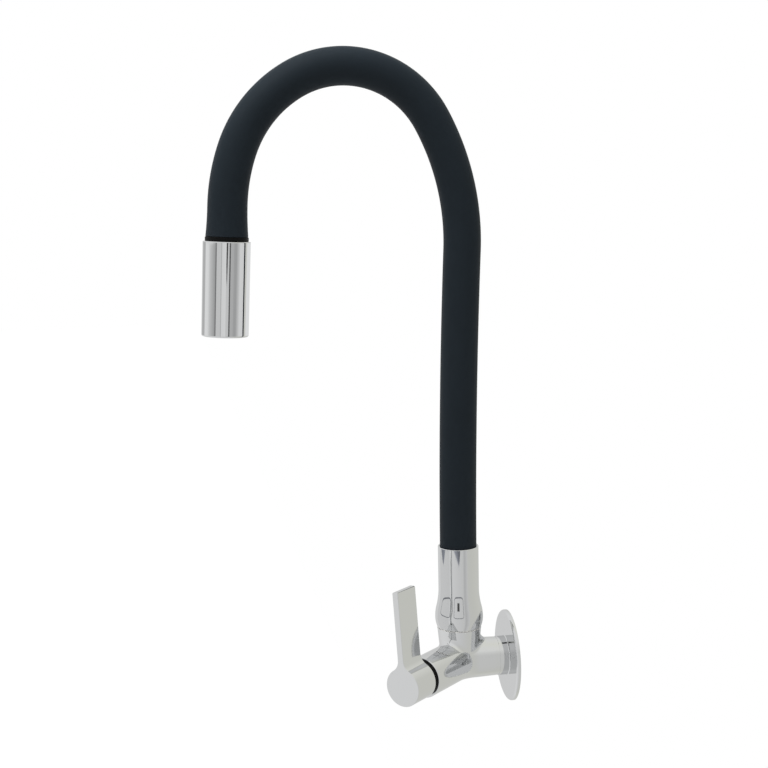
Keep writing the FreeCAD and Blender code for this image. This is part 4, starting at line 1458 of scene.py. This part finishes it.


# Painted reflections: a card glows only for rays from its own piece
def painted_reflection_finish():
    """Painted reflection: glow of the card's own tone, only to rays that come from its own piece.

    A ray starts at its end + its length times the way back. Its length has to be the
    card's reach, and its start has to be above the card's lowest height. Every other ray
    passes through, so a card changes no other piece of the tap.
    """
    made, shader = start_finish("Painted reflection")
    if shader:
        tree = made.node_tree
        tone = add_node(tree, "ShaderNodeAttribute", attribute_name="tone")
        reach = add_node(tree, "ShaderNodeAttribute", attribute_name="reach")
        lowest = add_node(tree, "ShaderNodeAttribute", attribute_name="lowest")
        path = add_node(tree, "ShaderNodeLightPath")
        end = add_node(tree, "ShaderNodeNewGeometry")
        back = add_node(tree, "ShaderNodeVectorMath", operation="SCALE")
        start = add_node(tree, "ShaderNodeVectorMath", operation="ADD")
        place = add_node(tree, "ShaderNodeSeparateXYZ")
        above = add_node(tree, "ShaderNodeMath", operation="GREATER_THAN")
        both = add_node(tree, "ShaderNodeMath", operation="MULTIPLY")
        slack = {2: REACH_SLACK * MM}
        fits = add_node(tree, "ShaderNodeMath", operation="COMPARE", values=slack)
        glow = add_node(tree, "ShaderNodeEmission")
        clear = add_node(tree, "ShaderNodeBsdfTransparent")
        mix = add_node(tree, "ShaderNodeMixShader")
        wire(
            tree,
            (path, "Ray Length", fits, 0),
            (reach, "Fac", fits, 1),
            (end, "Incoming", back, 0),
            (path, "Ray Length", back, "Scale"),
            (back, "Vector", start, 0),
            (end, "Position", start, 1),
            (start, "Vector", place, "Vector"),
            (place, "Z", above, 0),
            (lowest, "Fac", above, 1),
            (fits, "Value", both, 0),
            (above, "Value", both, 1),
            (both, "Value", mix, "Fac"),
            (tone, "Color", glow, "Color"),
            (clear, "BSDF", mix, 1),
            (glow, "Emission", mix, 2),
            (mix, "Shader", tree.nodes["Material Output"], "Surface"),
        )
    return made


def card(name, grid, tone, reach, lowest, finish):
    """Grid with its tone and limits stored on its points, seen only in reflections."""
    rows, columns, _ = grid.shape
    mesh = bpy.data.meshes.new(name)
    spots = grid.reshape(-1, 3) * MM
    mesh.from_pydata(spots.tolist(), [], grid_faces(rows, columns, 0).tolist())
    paint = mesh.color_attributes.new("tone", "FLOAT_COLOR", "POINT")
    tone = np.broadcast_to(tone, grid.shape).reshape(-1, 3)
    paint.data.foreach_set("color", np.append(tone, np.ones((len(tone), 1)), 1).ravel())
    for label, limit in (("reach", reach), ("lowest", lowest)):
        stored = mesh.attributes.new(label, "FLOAT", "POINT")
        stored.data.foreach_set("value", np.full(len(tone), limit * MM))
    mesh.materials.append(finish)
    made = bpy.data.objects.new(name, mesh)
    bpy.context.scene.collection.objects.link(made)
    made.visible_camera = made.visible_diffuse = False
    made.visible_transmission = made.visible_shadow = False


def painted_reflection_card(name, grid, reach, lowest, left, right, tint):
    """Card of painted reflection, with a tone that runs from its left to its right.

    Its rays start on the piece's skin, so they are shorter than its reach from the middle.
    """
    tone = np.linspace(left, right, grid.shape[1])[None, :, None] * np.array(tint)
    card(name, grid, tone * tap().room_tone, reach - BULGE_RADIUS, lowest, painted_reflection_finish())


def room_finish():
    """Glow of the room's own tone."""
    made, shader = start_finish("Grey room")
    tree = made.node_tree
    tone = add_node(tree, "ShaderNodeAttribute", attribute_name="tone")
    glow = add_node(tree, "ShaderNodeEmission")
    wire(
        tree,
        (tone, "Color", glow, "Color"),
        (glow, "Emission", tree.nodes["Material Output"], "Surface"),
    )
    return made


def room(centre, floor):
    """Grey floor, round wall and pale ceiling that only reflections show.

    Tone = base (middle - swing cos t - swing sin t) at angle t round the piece, and from
    the height where it pales it runs to the ceiling's tone. The wall's side is a little warm.
    """
    turn = np.linspace(0, 2 * math.pi, ROOM_AROUND + 1)
    height = np.concatenate([[floor], np.linspace(floor, ROOM_TOP, ROOM_ROWS), [ROOM_TOP]])
    radius = np.concatenate([[ROOM_HOLE], np.full(ROOM_ROWS, ROOM_RADIUS), [ROOM_HOLE]])
    x = centre[0] + radius[:, None] * np.cos(turn)
    y = centre[1] + radius[:, None] * np.sin(turn)
    grid = np.stack([x, y, np.broadcast_to(height[:, None], x.shape)], -1)
    side = ROOM_MIDDLE - ROOM_SWING * np.cos(turn) - ROOM_SWING * np.sin(turn)
    base = tap().room_tone * side
    paling = np.clip((height - ROOM_PALES) / (ROOM_TOP - ROOM_PALES), 0, 1)[:, None]
    tone = base + (ROOM_CEILING - base) * paling
    warm = 1 - np.clip(np.sin(turn), 0, 1)[:, None] * np.array((0.0, 0.0, ROOM_WARMTH))
    card("grey_room", grid, tone[..., None] * warm, 0, 0, room_finish())


def strip(name, centre, reach, lowest, shape, tint):
    """Upright strip of painted reflection, a ruled grid between its top and its foot."""
    left, right, foot_left, foot_right, top, foot, tone_left, tone_right = shape
    share = np.linspace(0, 1, STRIP_COLUMNS + 1)
    down = np.linspace(0, 1, STRIP_ROWS + 1)[:, None]
    first, last = left + (foot_left - left) * down, right + (foot_right - right) * down
    across = first + (last - first) * share
    above = np.broadcast_to(top + (foot - top) * down, across.shape)
    grid = around_piece(centre, reach, across, above)
    painted_reflection_card(name, grid, reach, lowest, tone_left, tone_right, tint)


def painted_frame_reflection(name, centre, left, right):
    """Painted reflection of a soft lamp's thin dark frame on the collar: a ribbon along a rectangle with rounded
    corners.

    The corners are quarter ellipses. A round collar squeezes what it shows across, so they
    are wider than they are high. The sign of a rounded cosine or sine is 0 at the quarter
    turns, which puts those points in the middle of their sides.
    """
    turn = np.radians(np.linspace(0, 360, WINDOW_AROUND + 1))
    wide, high = (right - left) / 2, (WINDOW_TOP - WINDOW_BOTTOM) / 2
    across, above = [], []
    corner_wide, corner_high = WINDOW_CORNER
    inner_wide, inner_high = wide - corner_wide, high - corner_high
    for inset in (0, WINDOW_BAR):
        bend, lift = (corner_wide - inset) * np.cos(turn), (corner_high - inset) * np.sin(turn)
        across.append(bend + inner_wide * np.sign(np.round(np.cos(turn), 6)))
        above.append(lift + inner_high * np.sign(np.round(np.sin(turn), 6)))
    across = np.array(across) + (left + right) / 2
    above = np.array(above) + (WINDOW_TOP + WINDOW_BOTTOM) / 2
    grid = around_piece(centre, NEAR, across, above)
    painted_reflection_card(name, grid, NEAR, COLLAR_LOWEST, WINDOW_TONE, WINDOW_TONE, COOL_GREY)


def wall_finish():
    """White to the camera from its front, and clear from its back."""
    made, _ = start_finish("White wall")
    tree = made.node_tree
    side = add_node(tree, "ShaderNodeNewGeometry")
    glow = add_node(tree, "ShaderNodeEmission")
    clear = add_node(tree, "ShaderNodeBsdfTransparent")
    mix = add_node(tree, "ShaderNodeMixShader")
    wire(
        tree,
        (side, "Backfacing", mix, "Fac"),
        (glow, "Emission", mix, 1),
        (clear, "BSDF", mix, 2),
        (mix, "Shader", tree.nodes["Material Output"], "Surface"),
    )
    return made


def floor_finish():
    """Pale floor that looks white to the camera and in reflections, less its shadows."""
    made, shader = start_finish("Pale floor")
    shader.inputs["Base Color"].default_value = (*tap().floor_color, 1)
    shader.inputs["Roughness"].default_value = 0.9
    shader.inputs["Specular IOR Level"].default_value = 0.1
    tree = made.node_tree
    glow = add_node(tree, "ShaderNodeEmission", values={"Strength": FLOOR_GLOW})
    share = add_node(tree, "ShaderNodeMath", operation="MULTIPLY", values={1: FLOOR_GLOW_SHARE})
    mix = add_node(tree, "ShaderNodeMixShader")
    wire(
        tree,
        (shown_rays(tree), "Value", share, 0),
        (share, "Value", mix, "Fac"),
        (shader, "BSDF", mix, 1),
        (glow, "Emission", mix, 2),
        (mix, "Shader", tree.nodes["Material Output"], "Surface"),
    )
    return made


def stage_sheet(name, grid, facing, finish):
    """Flat sheet of the stage, such as its floor."""
    sheet = piece(name, [(grid, np.broadcast_to(facing, grid.shape))])
    sheet.data.materials.append(finish)
    return sheet


class TAP_OT_stage(bpy.types.Operator):
    """Floor, wall, surroundings, lights, cards that paint reflections, and the camera"""

    bl_idname = "wall_tap.stage"
    bl_label = "Stage"

    def execute(self, context):
        context.scene.view_settings.view_transform = "Standard"
        settings = tap()
        place_camera()
        white_surroundings(settings.sky_level)
        floor = -settings.floor_drop / MM
        ends = np.array([-SHEET_REACH, SHEET_REACH])
        x, y = np.meshgrid(ends, ends)
        stage_sheet("floor", np.stack([x, y, np.full_like(x, floor)], -1), UP, floor_finish())
        soft_light("key_light", *KEY_LIGHT, settings.key_power)
        soft_light("fill_light", *FILL_LIGHT, settings.fill_power)
        x, z = np.meshgrid(ends, np.array([floor, SHEET_REACH]))
        grid = np.stack([x, np.zeros_like(x), z], -1)
        wall = stage_sheet("wall", grid, (0.0, -1.0, 0.0), wall_finish())
        wall.visible_diffuse = wall.visible_glossy = wall.visible_shadow = False
        room(COLLAR_MIDDLE, floor + ROOM_GAP)
        head_middle = head_axis()(np.array([HEAD_LENGTH / 2]))[0][0]
        # Painted reflection strips on the spray head, the collar's neck and the collar
        for name, centre, reach, lowest, shapes, tint in (
            ("head_strip_", head_middle, FAR, HEAD_LOWEST, HEAD_STRIPS, NEUTRAL),
            ("neck_wedge_", COLLAR_MIDDLE, NEAR, NECK_LOWEST, NECK_WEDGES, COOL_GREY),
            ("collar_strip_", COLLAR_MIDDLE, MIDDLE, COLLAR_LOWEST, COLLAR_STRIPS, NEUTRAL),
        ):
            for index, shape in enumerate(shapes):
                strip(name + str(index), centre, reach, lowest, shape, tint)
        # Painted reflection of the camera's lens on the collar's flare
        strip("painted_lens_reflection", COLLAR_MIDDLE, NEAR, FLARE_LOWEST, PAINTED_LENS_REFLECTION, NEUTRAL)
        # Painted reflections of the soft lamps' frames on the collar
        for index, (left, right) in enumerate(WINDOWS):
            painted_frame_reflection("painted_frame_reflection_" + str(index), COLLAR_MIDDLE, left, right)
        return {"FINISHED"}


# Panel and registration

OPERATORS = (
    TAP_OT_finishes, TAP_OT_body, TAP_OT_flange, TAP_OT_gap_ring, TAP_OT_lever,
    TAP_OT_collar, TAP_OT_hose, TAP_OT_hose_inside, TAP_OT_head, TAP_OT_stage,
)


class TAP_PT_panel(bpy.types.Panel):
    """Settings and steps of the tap"""

    bl_idname = "TAP_PT_panel"
    bl_label = "Wall tap"
    bl_space_type = "VIEW_3D"
    bl_region_type = "UI"
    bl_category = "Tap"

    def draw(self, context):
        for name in TapSettings.__annotations__:
            self.layout.prop(context.scene.wall_tap, name)
        for operator in OPERATORS:
            self.layout.operator(operator.bl_idname)


CLASSES = (TapSettings, *OPERATORS, TAP_PT_panel)


def register():
    for item in CLASSES:
        bpy.utils.register_class(item)
    bpy.types.Scene.wall_tap = PointerProperty(type=TapSettings)


def unregister():
    del bpy.types.Scene.wall_tap
    for item in reversed(CLASSES):
        bpy.utils.unregister_class(item)


def main():
    """Builds everything."""
    register()
    for operator in OPERATORS:
        group, step = operator.bl_idname.split(".")
        getattr(getattr(bpy.ops, group), step)()


if __name__ == "__main__":
    main()
